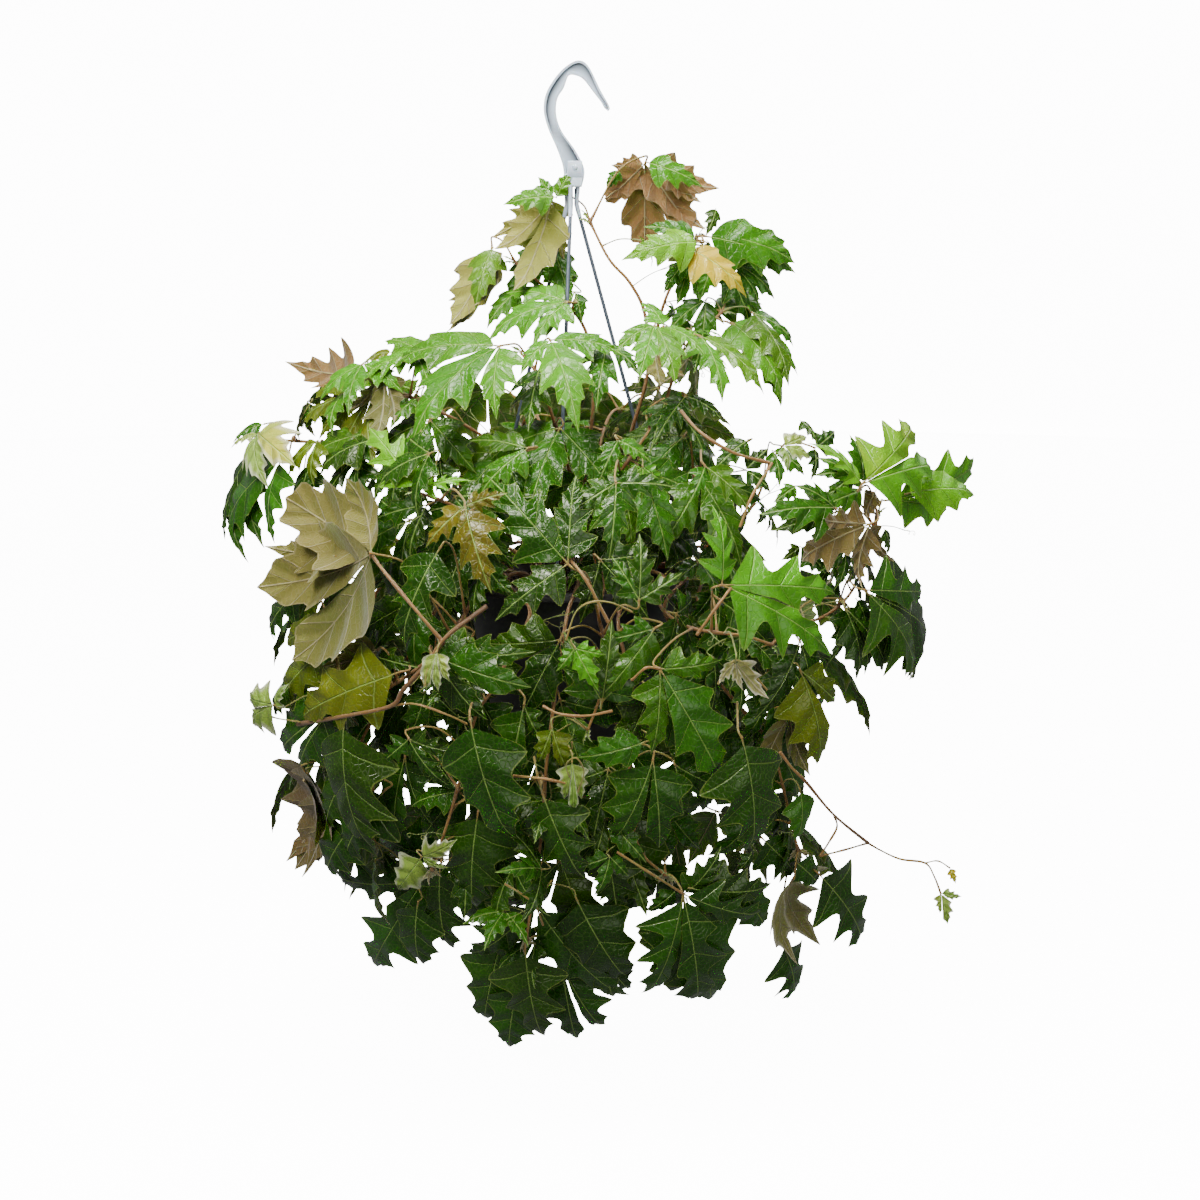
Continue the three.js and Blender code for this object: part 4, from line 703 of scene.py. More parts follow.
        twigs=[(1.5, (740, 527, 8), (752, 496, -4), (772, 463, -2)), (1.7, (681, 411, 10), (700, 432, -4),
            (732, 452, -6), (769, 463, -2))]),
    "middle_right": dict(root=(20, 50),
        stem=[(600, 525, -80), (606, 500, -110), (618, 476, -130), (632, 455, -130), (650, 430, -110)],
        leaves=[("d", 616, 483, 0, 1, (566, 516), (610, 557), (675, 486)), ("d", 665, 402, 60, 1, (705, 450),
            (650, 452)), ("m", 618, 440, 40, 1, (600, 478), (652, 462))],
        inner=[(640, 470, 60, 668, 560), (585, 480, 90, 560, 560)]),
}
# The far side: a course is radius and height after the rim, or after the soil for a rising shoot.
COURSES = {"long": (66, True, [[156, -442], [192, -476], [206, -548], [200, -634], [184, -716]]),
    "rising": (30, False, [[56, -400], [82, -348], [116, -312], [158, -306], [190, -336]]),
    "short": (50, True, [[150, -430], [196, -440], [226, -486], [236, -548]])}
BACK_ROWS = [(126, "long"), (139, "short"), (152, "long"), (166, "rising"), (180, "long"), (194, "rising"),
    (208, "long"), (223, "short"), (240, "long")]
BACK_STRETCH = (1.12, 1 / 1.12, 1)
# A far leaf's foot from its stem, and its middle tip from its foot: out, sideways and up.
BACK_FOOT, BACK_TIP, BACK_FACING = (24, 34, 18), (42, 40, -74), 0.8
for number, (bearing, kind) in enumerate(BACK_ROWS):
    radius, over, course = COURSES[kind]
    SHOOTS[f"back_{number + 1}"] = dict(root=(bearing, radius), over=bearing if over else None,
        course=[on_bearing(bearing, *spot) * BACK_STRETCH for spot in course])


def unit(v):
    """A direction of length one."""
    return v / np.linalg.norm(v)


def flat_on(v, axis):
    """The part of a direction that is square to an axis."""
    return v - axis * np.dot(v, axis) / np.dot(axis, axis)


def turned_about(v, axis, angle):
    """A direction turned about an axis."""
    return v * math.cos(angle) + np.cross(axis, v) * math.sin(angle) + axis * (axis @ v) * (1 - math.cos(angle))


def station(across, down, depth):
    """A point on the sheet at a depth, seen from the eye."""
    x, y = (across - SHEET / 2) * SHEET_UNIT, (SHEET / 2 - down) * SHEET_UNIT
    level, height = EYE_DISTANCE * math.cos(EYE_RISE), EYE_DISTANCE * math.sin(EYE_RISE)
    t = (depth + level) / (level + y * math.sin(EYE_RISE))
    return np.array([SHEET_CENTRE[0] + t * x, depth,
        SHEET_CENTRE[2] + height + t * (y * math.cos(EYE_RISE) - height)])


def crown_front(across, down):
    """The depth of the front of the leaves at a place on the sheet."""
    half_width, half_depth = (np.interp(down, CROWN[:, 0], CROWN[:, k]) for k in (1, 2))
    reach = min(1.0, abs(across - CROWN_AXIS) / half_width)
    return -half_depth * math.sqrt(1 - reach * reach)


def in_crown(across, down, behind):
    """A point so far behind the front of the leaves."""
    return station(across, down, crown_front(across, down) + behind)


def crown_normal(across, down):
    """The way out of the crown at a place on the sheet, tipped up towards the light."""
    right, left, above, below = [in_crown(across + x, down + y, 0) for x, y in
        ((20, 0), (-20, 0), (0, -20), (0, 20))]
    return unit(unit(np.cross(right - left, above - below)) + LIGHTWARD * SKY)


def leaf_normal(foot, tips, facing):
    """The upper side of a leaf: square to its leaflets, drawn towards the side it should face."""
    normal = FACING_PULL * facing
    for one, other in zip(tips, tips[1:]):
        plane = unit(np.cross(one - foot, other - foot))
        normal = normal + plane * (np.sign(plane @ facing) or 1)
    return unit(normal)


def whole_leaf(foot, tip, facing):
    """Foot, tips and upper side of a leaf from its middle tip, its side leaflets shorter and drooping."""
    along = tip - foot
    up = unit(flat_on(facing, along))
    left, right = [foot + SIDE_LENGTH * turned_about(along, up, turn) - SIDE_DROOP * np.linalg.norm(along) * up
        for turn in (SIDE_TURN, -SIDE_TURN)]
    return foot, [left, tip, right], leaf_normal(foot, [left, tip, right], facing)


def leaf_at(row, shift):
    """Foot, tips and upper side of a large or small leaf."""
    _, foot_x, foot_y, behind, face, *tips = row
    foot = in_crown(foot_x, foot_y, behind + shift)
    tips = [station(x, y, crown_front(x, y) + (behind + shift) + sum(further)) for x, y, *further in tips]
    return foot, tips, leaf_normal(foot, tips, face * crown_normal(foot_x, foot_y))


def inner_leaf_at(row, shift):
    """Foot, tips and upper side of a whole leaf inside the crown."""
    foot_x, foot_y, behind, tip_x, tip_y = row
    return whole_leaf(in_crown(foot_x, foot_y, behind + shift), in_crown(tip_x, tip_y, behind + shift),
        crown_normal(foot_x, foot_y))


def back_leaf_at(bearing, spot, side, shift):
    """Foot, tips and upper side of a leaf on the far side."""
    out, sideways = on_bearing(bearing, 1, 0), side * on_bearing(bearing + 90, 1, 0)
    foot = spot + (BACK_FOOT[0] - shift) * out + BACK_FOOT[1] * sideways + BACK_FOOT[2] * SKY
    tip = foot + BACK_TIP[0] * out + BACK_TIP[1] * sideways + BACK_TIP[2] * SKY
    return whole_leaf(foot, tip, unit(out + BACK_FACING * SKY))


def curve_points(points, count):
    """Evenly spaced points on the smooth curve through some points."""
    fine = smooth_rows(points, 60)
    length = np.concatenate([[0], np.cumsum(np.linalg.norm(np.diff(fine, axis=0), axis=1))])
    at = np.linspace(0, length[-1], count + 1)
    return np.column_stack([np.interp(at, length, fine[:, k]) for k in range(3)])


def stem_points(shoot, shift):
    """The points that a stem passes: its hole, the soil, the rim and its stations."""
    points = [on_bearing(*shoot["root"], SOIL_LEVEL + rise) for rise in STEM_RISES]
    if shoot.get("over") is not None:
        points += [on_bearing(shoot["over"], RIM_RADIUS + out, RIM_TOP + rise) for out, rise in OVER_RIM]
    points += [station(x, y, depth + shift) for x, y, depth in shoot.get("stem", [])]
    points += [spot + shift * SKY for spot in shoot.get("course", [])]
    return np.array(points)


def nearest_on(line, target):
    """The nearest point of a line past its roots."""
    a, b = line[2:-1], line[3:]
    t = np.clip(((target - a) * (b - a)).sum(1) / ((b - a) ** 2).sum(1), 0, 1)
    near = a + t[:, None] * (b - a)
    return near[np.argmin(np.linalg.norm(near - target, axis=1))]


def stalk_points(start, foot, tips, normal, bow):
    """Stem, bow, knee and foot of a leaf's stalk."""
    ahead = unit(flat_on(sum(unit(tip - foot) for tip in tips), normal))
    knee = foot - KNEE_BACK * ahead - KNEE_UNDER * normal
    middle = (start + knee) / 2 + np.array(bow) * np.linalg.norm(start - knee)
    return start, middle, knee, foot


# The leaves and stems give way to each other in steps: each stands at the first place that was clear, and
# each stalk bows the way that was clear. The solids know which, so each is looked up by its solid's corners.
SHIFTS = [STEP_BACK * ((k + 1) // 2 if k % 2 else -k // 2) for k in range(25)]
BOWS = [(0, 0, 0.2), (0, -0.2, 0.1), (0.2, 0, 0.05), (-0.2, 0, 0.05), (0, 0.2, 0.1), (0, 0, -0.15),
    (0, 0, 0.45), (0.4, 0, 0), (-0.4, 0, 0)]
plan = {}
for name, shoot in SHOOTS.items():
    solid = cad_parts["shoot_" + name].data.vertices
    corners = KDTree(len(solid))
    for i, vertex in enumerate(solid):
        corners.insert(vertex.co * 1000, i)
    corners.balance()

    def off(point, radius=0.0):
        """How far the nearest corner of the solid is from a radius about a point."""
        return abs(corners.find(Vector(point))[2] - radius)

    stems = [stem_points(shoot, shift) for shift in SHIFTS]
    spines = [curve_points(points, int(1.5 * len(points) + 0.5)) for points in stems]
    found = int(np.argmin([np.median([off(spot, STEM_RADIUS) for spot in spine[4:]]) for spine in spines]))
    makers = [lambda shift, row=row: leaf_at(row, shift) for row in shoot.get("leaves", [])]
    makers += [lambda shift, row=row: inner_leaf_at(row, shift) for row in shoot.get("inner", [])]
    makers += [lambda shift, spot=spot, side=(-1) ** k: back_leaf_at(shoot["root"][0], spot, side, shift)
        for k, spot in enumerate(shoot.get("course", [])[1:])]
    leaves = []
    for leaf_for in makers:
        foot, tips, normal = min(map(leaf_for, SHIFTS), key=lambda leaf: max(off(tip) for tip in leaf[1]))
        start = nearest_on(spines[found], foot)
        stalks = [stalk_points(start, foot, tips, normal, bow) for bow in BOWS]
        leaves.append((foot, tips, normal, min(stalks, key=lambda stalk: off(stalk[1], PETIOLE_RADIUS))))
    plan[name] = stems[found], leaves

# ------------------------------------------------------------------ leaves
# A leaf has one to three glossy leaflets on short stalks, cut into pointed, toothed lobes. A side vein
# runs into each lobe, sunk in the upper face and standing up from the matt, downy underside.

ARCH, FOLD, RIPPLE, QUILT = 0.11, 0.14, 0.026, 0.012
# Places on the midrib of the lobes' tips and of the sinuses between them, from the foot on.
TURNS = [.05, .166, .275, .385, .515, .63, .75, .785, 1.0]
# The outline of a leaf that isn't cut, and the lean of the side veins in degrees, both along the midrib.
UNCUT = [(.05, .05), (.09, .21), (.13, .305), (.166, .345), (.275, .315), (.385, .335), (.515, .235),
    (.63, .195), (.75, .135), (.85, .085), (.94, .04), (1.0, .004)]
VEIN_LEAN = [(0, 78), (.14, 64), (.36, 45), (.6, 38), (.8, 32), (1, 26)]
TURN_OVER = [0, 3, 2, 1]


def leaf_shape(outline, rows=(0, .08, .36, .7, 1.0), thick=(.9, .42, .34, .27, 0)):
    """A half outline made ready: places on the midrib with the blade's length along its side vein there, the
    shares of that length at which the blade has points, and its thickness at each."""
    columns, reach = np.array(outline).T
    across = 2 * len(rows) - 1
    grid = np.arange(len(columns) * across).reshape(-1, across)
    inner = np.zeros(grid.shape, bool)
    inner[1:-1, 1:-1] = True
    under = grid.copy()
    under[inner] = grid.size + np.arange(inner.sum())
    c, r = [a.ravel() for a in np.meshgrid(np.arange(len(grid) - 1), np.arange(across - 1), indexing="ij")]
    quad_c, quad_r = np.stack([c, c + 1, c + 1, c], 1), np.stack([r, r, r + 1, r + 1], 1)
    return dict(columns=columns, reach=reach, inner=inner, half=len(rows) - 1,
        numbers=np.interp(columns, TURNS, 0.5 + 0.5 * np.arange(len(TURNS))),
        rows=np.array(rows[:0:-1] + rows), thick=np.array(thick[:0:-1] + thick),
        faces=np.vstack([grid[quad_c, quad_r], under[quad_c, quad_r][:, TURN_OVER]]),
        corner_c=np.vstack([quad_c, quad_c[:, TURN_OVER]]),
        corner_r=np.vstack([quad_r, quad_r[:, TURN_OVER]]),
        rim=np.concatenate([~inner.ravel(), np.zeros(inner.sum(), bool)]))


CUT = leaf_shape([(.05, .012), (.057, .075), (.068, .14), (.085, .205), (.105, .262), (.125, .305),
    (.145, .335), (.166, .352), (.18, .335), (.195, .305), (.212, .268), (.23, .23), (.25, .2), (.275, .185),
    (.295, .195), (.315, .225), (.335, .265), (.355, .3), (.37, .322), (.385, .335), (.398, .318),
    (.415, .28), (.435, .235), (.46, .19), (.485, .16), (.515, .145), (.545, .155), (.575, .175),
    (.605, .192), (.63, .2), (.65, .178), (.68, .148), (.715, .122), (.75, .105), (.785, .095), (.83, .075),
    (.88, .052), (.94, .028), (1.0, .004)])
FINGERS = leaf_shape([(.05, .012), (.07, .09), (.1, .165), (.13, .235), (.15, .28), (.166, .295), (.18, .265),
    (.2, .195), (.225, .13), (.25, .095), (.275, .085), (.3, .11), (.33, .185), (.355, .25), (.385, .29),
    (.4, .265), (.42, .205), (.445, .145), (.475, .1), (.515, .082), (.55, .105), (.59, .155), (.63, .18),
    (.655, .152), (.69, .112), (.74, .085), (.785, .07), (.87, .045), (.94, .025), (1.0, .004)])
PLAIN = leaf_shape([(.05, .012), (.062, .12), (.085, .21), (.12, .3), (.145, .335), (.166, .352), (.195, .31),
    (.23, .235), (.275, .195), (.31, .225), (.345, .29), (.385, .335), (.415, .285), (.46, .195), (.515, .15),
    (.57, .175), (.63, .2), (.68, .148), (.75, .105), (.785, .095), (.86, .06), (.94, .028), (1.0, .004)],
    (0, .12, .6, 1.0), (.7, .36, .28, 0))
SMALL = leaf_shape([(.05, .012), (.08, .19), (.12, .28), (.166, .33), (.22, .24), (.275, .2), (.33, .25),
    (.385, .31), (.45, .2), (.515, .145), (.57, .16), (.63, .18), (.71, .115), (.785, .09), (.88, .055),
    (1.0, .004)], (0, .5, 1.0), (.5, .3, 0))
BROAD = leaf_shape([(.05, .02), (.07, .13), (.1, .24), (.14, .32), (.185, .37), (.23, .375), (.275, .35),
    (.32, .345), (.37, .375), (.42, .4), (.47, .385), (.515, .325), (.56, .275), (.61, .28), (.66, .3),
    (.71, .275), (.76, .22), (.81, .16), (.86, .115), (.92, .07), (.96, .04), (1.0, .004)])


def ribs_of(foot, tips, normal):
    """The leaflets of a leaf, in order round its upper side."""
    ahead = flat_on(sum(unit(tip - foot) for tip in tips), normal)
    ribs = []
    for tip in tips:
        along = tip - foot
        up = unit(flat_on(normal, along))
        turn = math.atan2(normal @ np.cross(ahead, along), ahead @ along)
        ribs.append(dict(along=along, length=np.linalg.norm(along), up=up, across=unit(np.cross(up, along)),
            turn=turn))
    return sorted(ribs, key=lambda rib: rib["turn"])


def on_leaflet(foot, rib, u, v, lift=0.0):
    """Points of a leaflet's arched and folded face, u along its rib and v across it."""
    rise = 4 * ARCH * u * (1 - u) - FOLD * np.abs(v) + lift
    return (foot + np.multiply.outer(u, rib["along"]) + np.multiply.outer(v * rib["length"], rib["across"])
        + np.multiply.outer(rise * rib["length"], rib["up"]))


def leaflet(foot, rib, neighbours, shape, cut, chance):
    """Points, corner marks and rim shares of a leaflet's thin closed blade, cut so far between its lobes."""
    columns, rows, half = shape["columns"][:, None], shape["rows"], shape["half"]
    lean = np.radians(np.interp(columns, *zip(*VEIN_LEAN)))
    sides = np.concatenate([-np.ones(half), [1], np.ones(half)])
    reach = np.zeros((len(columns), 2 * half + 1))
    room = 0.8 if None in neighbours else 1.15
    for neighbour, side in zip(neighbours, (slice(0, half), slice(half, None))):
        wobble = np.interp(columns[:, 0], np.linspace(0, 1, 7), 1 + 0.06 * chance.standard_normal(7))
        span = cut * shape["reach"] + (1 - cut) * np.interp(columns[:, 0], *zip(*UNCUT))
        span = span * wobble * (1 + 0.05 * chance.standard_normal())
        if neighbour is not None:
            between = math.acos(np.clip(unit(rib["along"]) @ unit(neighbour["along"]), -1, 1))
            slope = room * math.tan(between / 2)
            opening = np.sin(lean[:, 0]) - slope * np.cos(lean[:, 0])
            limit = np.minimum(span, slope * columns[:, 0] / np.maximum(opening, 0.02))
            span = np.where(opening > 0.02, limit, span)
        reach[:, side] = span[:, None]
    s = reach * rows
    u, v = columns + s * np.cos(lean), sides * s * np.sin(lean)
    wave = RIPPLE * np.sin(chance.uniform(0, 6) + 11 * columns + 1.5 * sides) * (s / 0.35) ** 1.3
    quilt = -QUILT * np.cos(2 * math.pi * shape["numbers"][:, None]) * np.minimum(1, s / 0.1)
    curl, droop = chance.uniform(0.7, 2.2), chance.uniform(0.2, 1.1)
    lift = wave + quilt - curl * np.maximum(0, np.abs(v) - 0.08) ** 2 - droop * np.maximum(0, u - 0.7) ** 2
    lift = lift - 0.08 * abs(rib["turn"]) * np.minimum(u, 0.25)
    top = on_leaflet(foot, rib, u, v, lift)
    under = top - np.multiply.outer(shape["thick"] * np.ones_like(u), rib["up"])
    c, r = shape["corner_c"], shape["corner_r"]
    marks = np.stack([shape["numbers"][c], (v * rib["length"] / 100)[c, r]], -1)
    share = np.abs(rows) * np.ones_like(u)
    return (np.vstack([top.reshape(-1, 3), under[shape["inner"]]]), marks,
        np.concatenate([share.ravel(), share[shape["inner"]]]))


class Foliage:
    """The blades of one shoot while they are gathered, and the lines of its stalks."""

    def __init__(self):
        self.lines, self.count = [], 0
        self.rows = {key: [] for key in ("points", "faces", "veins", "finish", "tone", "edge", "rim")}

    def add_leaf(self, leaf, shape, tone, chance, stalk=None, stalk_radius=1.05):
        """A leaf from its foot, tips and upper side, with its leaflets' stalks, and its own where given."""
        foot, tips, normal = leaf
        ribs = ribs_of(foot, tips, normal)
        cut = chance.uniform(0.3, 0.9) if shape is PLAIN else chance.uniform(0.6, 1.25)
        for rib, *neighbours in zip(ribs, [None] + ribs, ribs[1:] + [None]):
            points, marks, share = leaflet(foot, rib, neighbours, shape, cut, chance)
            luck = np.full(len(points), chance.uniform())
            tint = np.array(tone) + (chance.normal(0, 0.05), chance.normal(0, 0.04), 0)
            new = dict(points=points, faces=shape["faces"] + self.count, veins=marks.reshape(-1, 2),
                finish=np.repeat([0, 1], len(shape["faces"]) // 2), tone=np.tile(tint, (len(points), 1)),
                edge=np.column_stack([share, luck, np.zeros_like(luck)]), rim=shape["rim"])
            for key, rows in self.rows.items():
                rows.append(new[key])
            self.count += len(points)
            short = [on_leaflet(foot, rib, np.array(u), np.array(0.0)) - 0.4 * rib["up"]
                for u in (0.0, 0.03, 0.075)]
            thin = min(0.8, 0.012 * rib["length"])
            self.lines.append([(*p, thin * k) for p, k in zip(short, (1.2, 0.9, 0.6))])
        if stalk is not None:
            line = smooth_rows(stalk, 6)
            t = np.linspace(0, 1, len(line))
            swell = 0.85 + 0.7 * np.exp(-(t / 0.07) ** 2) + 0.35 * np.exp(-((1 - t) / 0.05) ** 2)
            self.lines.append(np.column_stack([line, stalk_radius * swell]))

    def blades(self, name, finishes):
        """All the blades as one object."""
        points, faces, veins, finish, tone, edge, rim = [np.concatenate(rows) for rows in self.rows.values()]
        piece = mesh_piece(name, points / 1000, faces, finishes)
        mesh = piece.data
        mesh.polygons.foreach_set("material_index", finish.astype(np.int32))
        mesh.uv_layers.new(name="veins").data.foreach_set("uv", veins.astype(np.float32).ravel())
        for label, values in (("tone", tone), ("edge", edge)):
            mesh.attributes.new(label, "FLOAT_VECTOR", "POINT").data.foreach_set("vector",
                values.astype(np.float32).ravel())
        ends = np.zeros(len(mesh.edges) * 2, np.int32)
        mesh.edges.foreach_get("vertices", ends)
        on_rim = rim[ends.reshape(-1, 2)].all(axis=1)
        mesh.attributes.new("sharp_edge", "BOOLEAN", "EDGE").data.foreach_set("value", on_rim)
        return piece


# Veins over a blade: the midrib, a side vein to each lobe, and a fine net between them.
veining, v_in, v_out = new_group("leaf veins", [("Net", "Float", 190.0)],
    [("Veins", "Float"), ("Net", "Float"), ("Quilt", "Float")])
v_parts = node(veining, "SeparateXYZ", {0: node(veining, "UVMap", uv_map="veins")[0]})
v_number = sums("ADD", v_parts[0], sums("MULTIPLY_ADD", clouds(veining, 70), 0.05, -0.025))
from_vein = sums("PINGPONG", v_number, 0.5)
side_vein = ranged(from_vein, 0.0, 0.036, 1.0, 0.0, "SMOOTHSTEP")
midrib = ranged(sums("ABSOLUTE", v_parts[1]), 0.002, 0.0105, 1.0, 0.0, "SMOOTHSTEP")
net = node(veining, "TexVoronoi", {"Vector": place_in(veining), "Scale": v_in["Net"]},
    feature="DISTANCE_TO_EDGE")
feed(v_out, {"Veins": sums("MAXIMUM", sums("MULTIPLY", side_vein, 0.75), midrib),
    "Net": ranged(net[0], 0.0, 0.12, 1.0, 0.0, "SMOOTHSTEP"),
    "Quilt": ranged(from_vein, 0.0, 0.5, way="SMOOTHSTEP")})


def leaf_finish(name, greens, bronze, vein_colour, rim_colour, height, gloss, veins_shown, extra):
    """One face of the leaves: its greens from old to young, its bronze, its veins and its relief."""
    made, tree, body = new_finish(name)
    (age, bronzing, fringe), (share, luck, _) = [node(tree, "SeparateXYZ", {0: node(tree, "Attribute",
        attribute_name=mark)["Vector"]}) for mark in ("tone", "edge")]
    veins = node(tree, "Group", node_tree=veining)
    cloudy, fine = clouds(tree, 22, 3), clouds(tree, 320, 3)
    colour = ramp(sums("MULTIPLY_ADD", cloudy, 0.22, sums("ADD", age, -0.11)), greens)
    colour = blend(sums("MULTIPLY", luck, 0.22), colour, "#142a07")
    bronzed = sums("MULTIPLY", bronzing, sums("MULTIPLY_ADD", cloudy, 0.6, 0.7), use_clamp=True)
    colour = blend(bronzed, colour, blend(age, *bronze))
    shown = sums("MULTIPLY", veins["Veins"], veins_shown)
    colour = blend(sums("MAXIMUM", shown, sums("MULTIPLY", veins["Net"], 0.04)), colour, vein_colour)
    colour = blend(sums("MULTIPLY", ranged(share, 0.6, 1.0, 0.12), fringe), colour, "#e6e2cc")
    quilted = sums("MULTIPLY_ADD", veins["Quilt"], 0.5 * height, sums("MULTIPLY", veins["Net"], -0.18 * height))
    raised = sums("MULTIPLY_ADD", fine, 0.12, sums("MULTIPLY_ADD", veins["Veins"], -height, quilted))
    feed(body, {"Base Color": blend(ranged(share, 0.95, 0.99, 0.0, 0.32), colour, rim_colour),
        "Roughness": sums("MULTIPLY_ADD", fine, 0.16, gloss), "Normal": relief(raised, 0.9, 0.0014), **extra})
    return made


leaf_top = leaf_finish("leaf upper side", [(0.0, "#153700"), (0.3, "#2b6404"), (0.6, "#4f990c"),
    (0.85, "#62ab02"), (1.0, "#c0c425")], ("#4c3a16", "#cf8f1c"), "#a9cc66", "#a9bb52", 1.0, 0.15, 0.42,
    {"Specular IOR Level": 0.4, "Specular Tint": (1, 1, 0.8, 1), "Subsurface Weight": 0.12,
     "Subsurface Scale": 0.003, "Subsurface Radius": (0.4, 1.0, 0.15)})
leaf_under = leaf_finish("leaf underside", [(0.0, "#3a511c"), (0.3, "#516623"), (0.6, "#6c7626"),
    (0.85, "#868e2c"), (1.0, "#aca84c")], ("#6e4a22", "#a87a48"), "#b5a877", "#c2b080", -1.0, 0.62, 0.7,
    {"Specular IOR Level": 0.22, "Subsurface Weight": 0.15, "Subsurface Scale": 0.003,
     "Subsurface Radius": (0.5, 1.0, 0.2), "Sheen Weight": 0.2, "Sheen Roughness": 0.5})

# Young bark is green to wine red and softly hairy, old bark brown, corky and streaked.
bark, b_tree, b_body = new_finish("bark and stalks")
b_old = ranged(node(b_tree, "Attribute", attribute_name="thick")["Fac"], 0.0004, 0.0022)
b_cloud, b_streak = clouds(b_tree, 14, 3), clouds(b_tree, 380, 5, Roughness=0.65)
b_spots = node(b_tree, "TexVoronoi", {"Vector": place_in(b_tree), "Scale": 330})["Distance"]
b_colour = ramp(sums("MULTIPLY_ADD", b_cloud, 0.55, sums("ADD", b_old, -0.27)), [(0.0, "#6f8a3a"),
    (0.25, "#87742a"), (0.45, "#8a6428"), (0.7, "#75521f"), (1.0, "#4f3819")])
b_colour = blend(sums("MULTIPLY", b_streak, 0.22), b_colour, "#a87a50")
b_dots = ranged(b_spots, 0.1, 0.22, 0.3, 0.0)
feed(b_body, {"Base Color": blend(b_dots, b_colour, "#d8c3a0"),
    "Roughness": sums("MULTIPLY_ADD", b_streak, 0.3, 0.4),
    "Normal": relief(sums("ADD", b_streak, b_dots), 0.6, 0.0006),
    "Sheen Weight": 0.2, "Subsurface Weight": 0.05})

# ------------------------------------------------------------------ shoots
# Each shoot is one grown piece: a stem that thins towards its tip, with swollen joints where leaves sit,
# tendrils opposite the leaves, small leaves in the gaps and a downy young tip.

# Middle of the plant from left to right, and the heights above which inner leaves are bright or middle green.
MIDDLE_X, BRIGHT_ABOVE, MIDDLE_ABOVE = 7, -280, -345
STEM_TAPER, JOINT_SWELL, JOINT_LENGTH = 1.15, 0.45, 4
# Where along a stem its small leaves and its tendrils start, and how many of its points apart they are.
BARE_FROM, BARE_STEP, TENDRILS_FROM, TENDRIL_STEP = 0.34, 4, 0.55, 19
# How far out from the middle small leaves may grow on short stalks.
BUSHY_RADIUS = 190
# What stays free of small leaves: left, right, back, low and high side of the view of the pot and of the
# strands, and the radius, low and high side of the pot itself.
VIEWS = [(-60, 55, -60, -565, -440), (-67, 57, 20, -330, math.inf)]
POT_RADIUS, POT_LOW, POT_HIGH = 110, -600, -436
least, most = [np.array(corner) * 1000 for corner in solid_box]


def inside_solids(points):
    """Whether points stay within the size of the whole part."""
    return ((np.array(points) > least) & (np.array(points) < most)).all()


def clear_of_pot(points):
    """Whether points stay out of the pot and of the view of it and of the strands."""
    x, y, z = np.array(points).T
    hidden = (np.hypot(x, y) < POT_RADIUS) & (z > POT_LOW) & (z < POT_HIGH)
    for left, right, back, low, high in VIEWS:
        hidden |= (x > left) & (x < right) & (y < back) & (z > low) & (z < high)
    return not hidden.any()


def tint_at(height):
    """The colour of a leaf inside the crown, paler the higher it hangs."""
    return TINTS["b" if height > BRIGHT_ABOVE else "m" if height > MIDDLE_ABOVE else "d"]


def tendril(start, way, length, chance):
    """A thin forked tendril that ends in curls."""
    way = unit(way)
    side = unit(np.cross(way, SKY + 0.1))
    stem = [start + way * length * t + SKY * (0.15 * length * math.sin(2.5 * t))
        for t in np.linspace(0, 0.6, 7)]
    lines = [[(*p, 0.55 - 0.15 * k / 6) for k, p in enumerate(stem)]]
    for fork in (-1, 1):
        turns = chance.uniform(0.8, 2.0)
        ahead = unit(way + 0.4 * fork * side)
        curl = []
        for t in np.linspace(0, 1, 22):
            reach = 0.4 * length * min(t * 1.6, 1) * chance.uniform(0.99, 1.01)
            coil = max(0.0, t - 0.45) * 1.8
            angle, wide = 2 * math.pi * turns * coil, 2.2 * (1 - math.exp(-4 * coil))
            place = stem[-1] + ahead * reach + wide * (math.sin(angle) * SKY + (1 - math.cos(angle)) * side)
            curl.append((*place, 0.4 - 0.2 * t))
        lines.append(curl)
    return lines


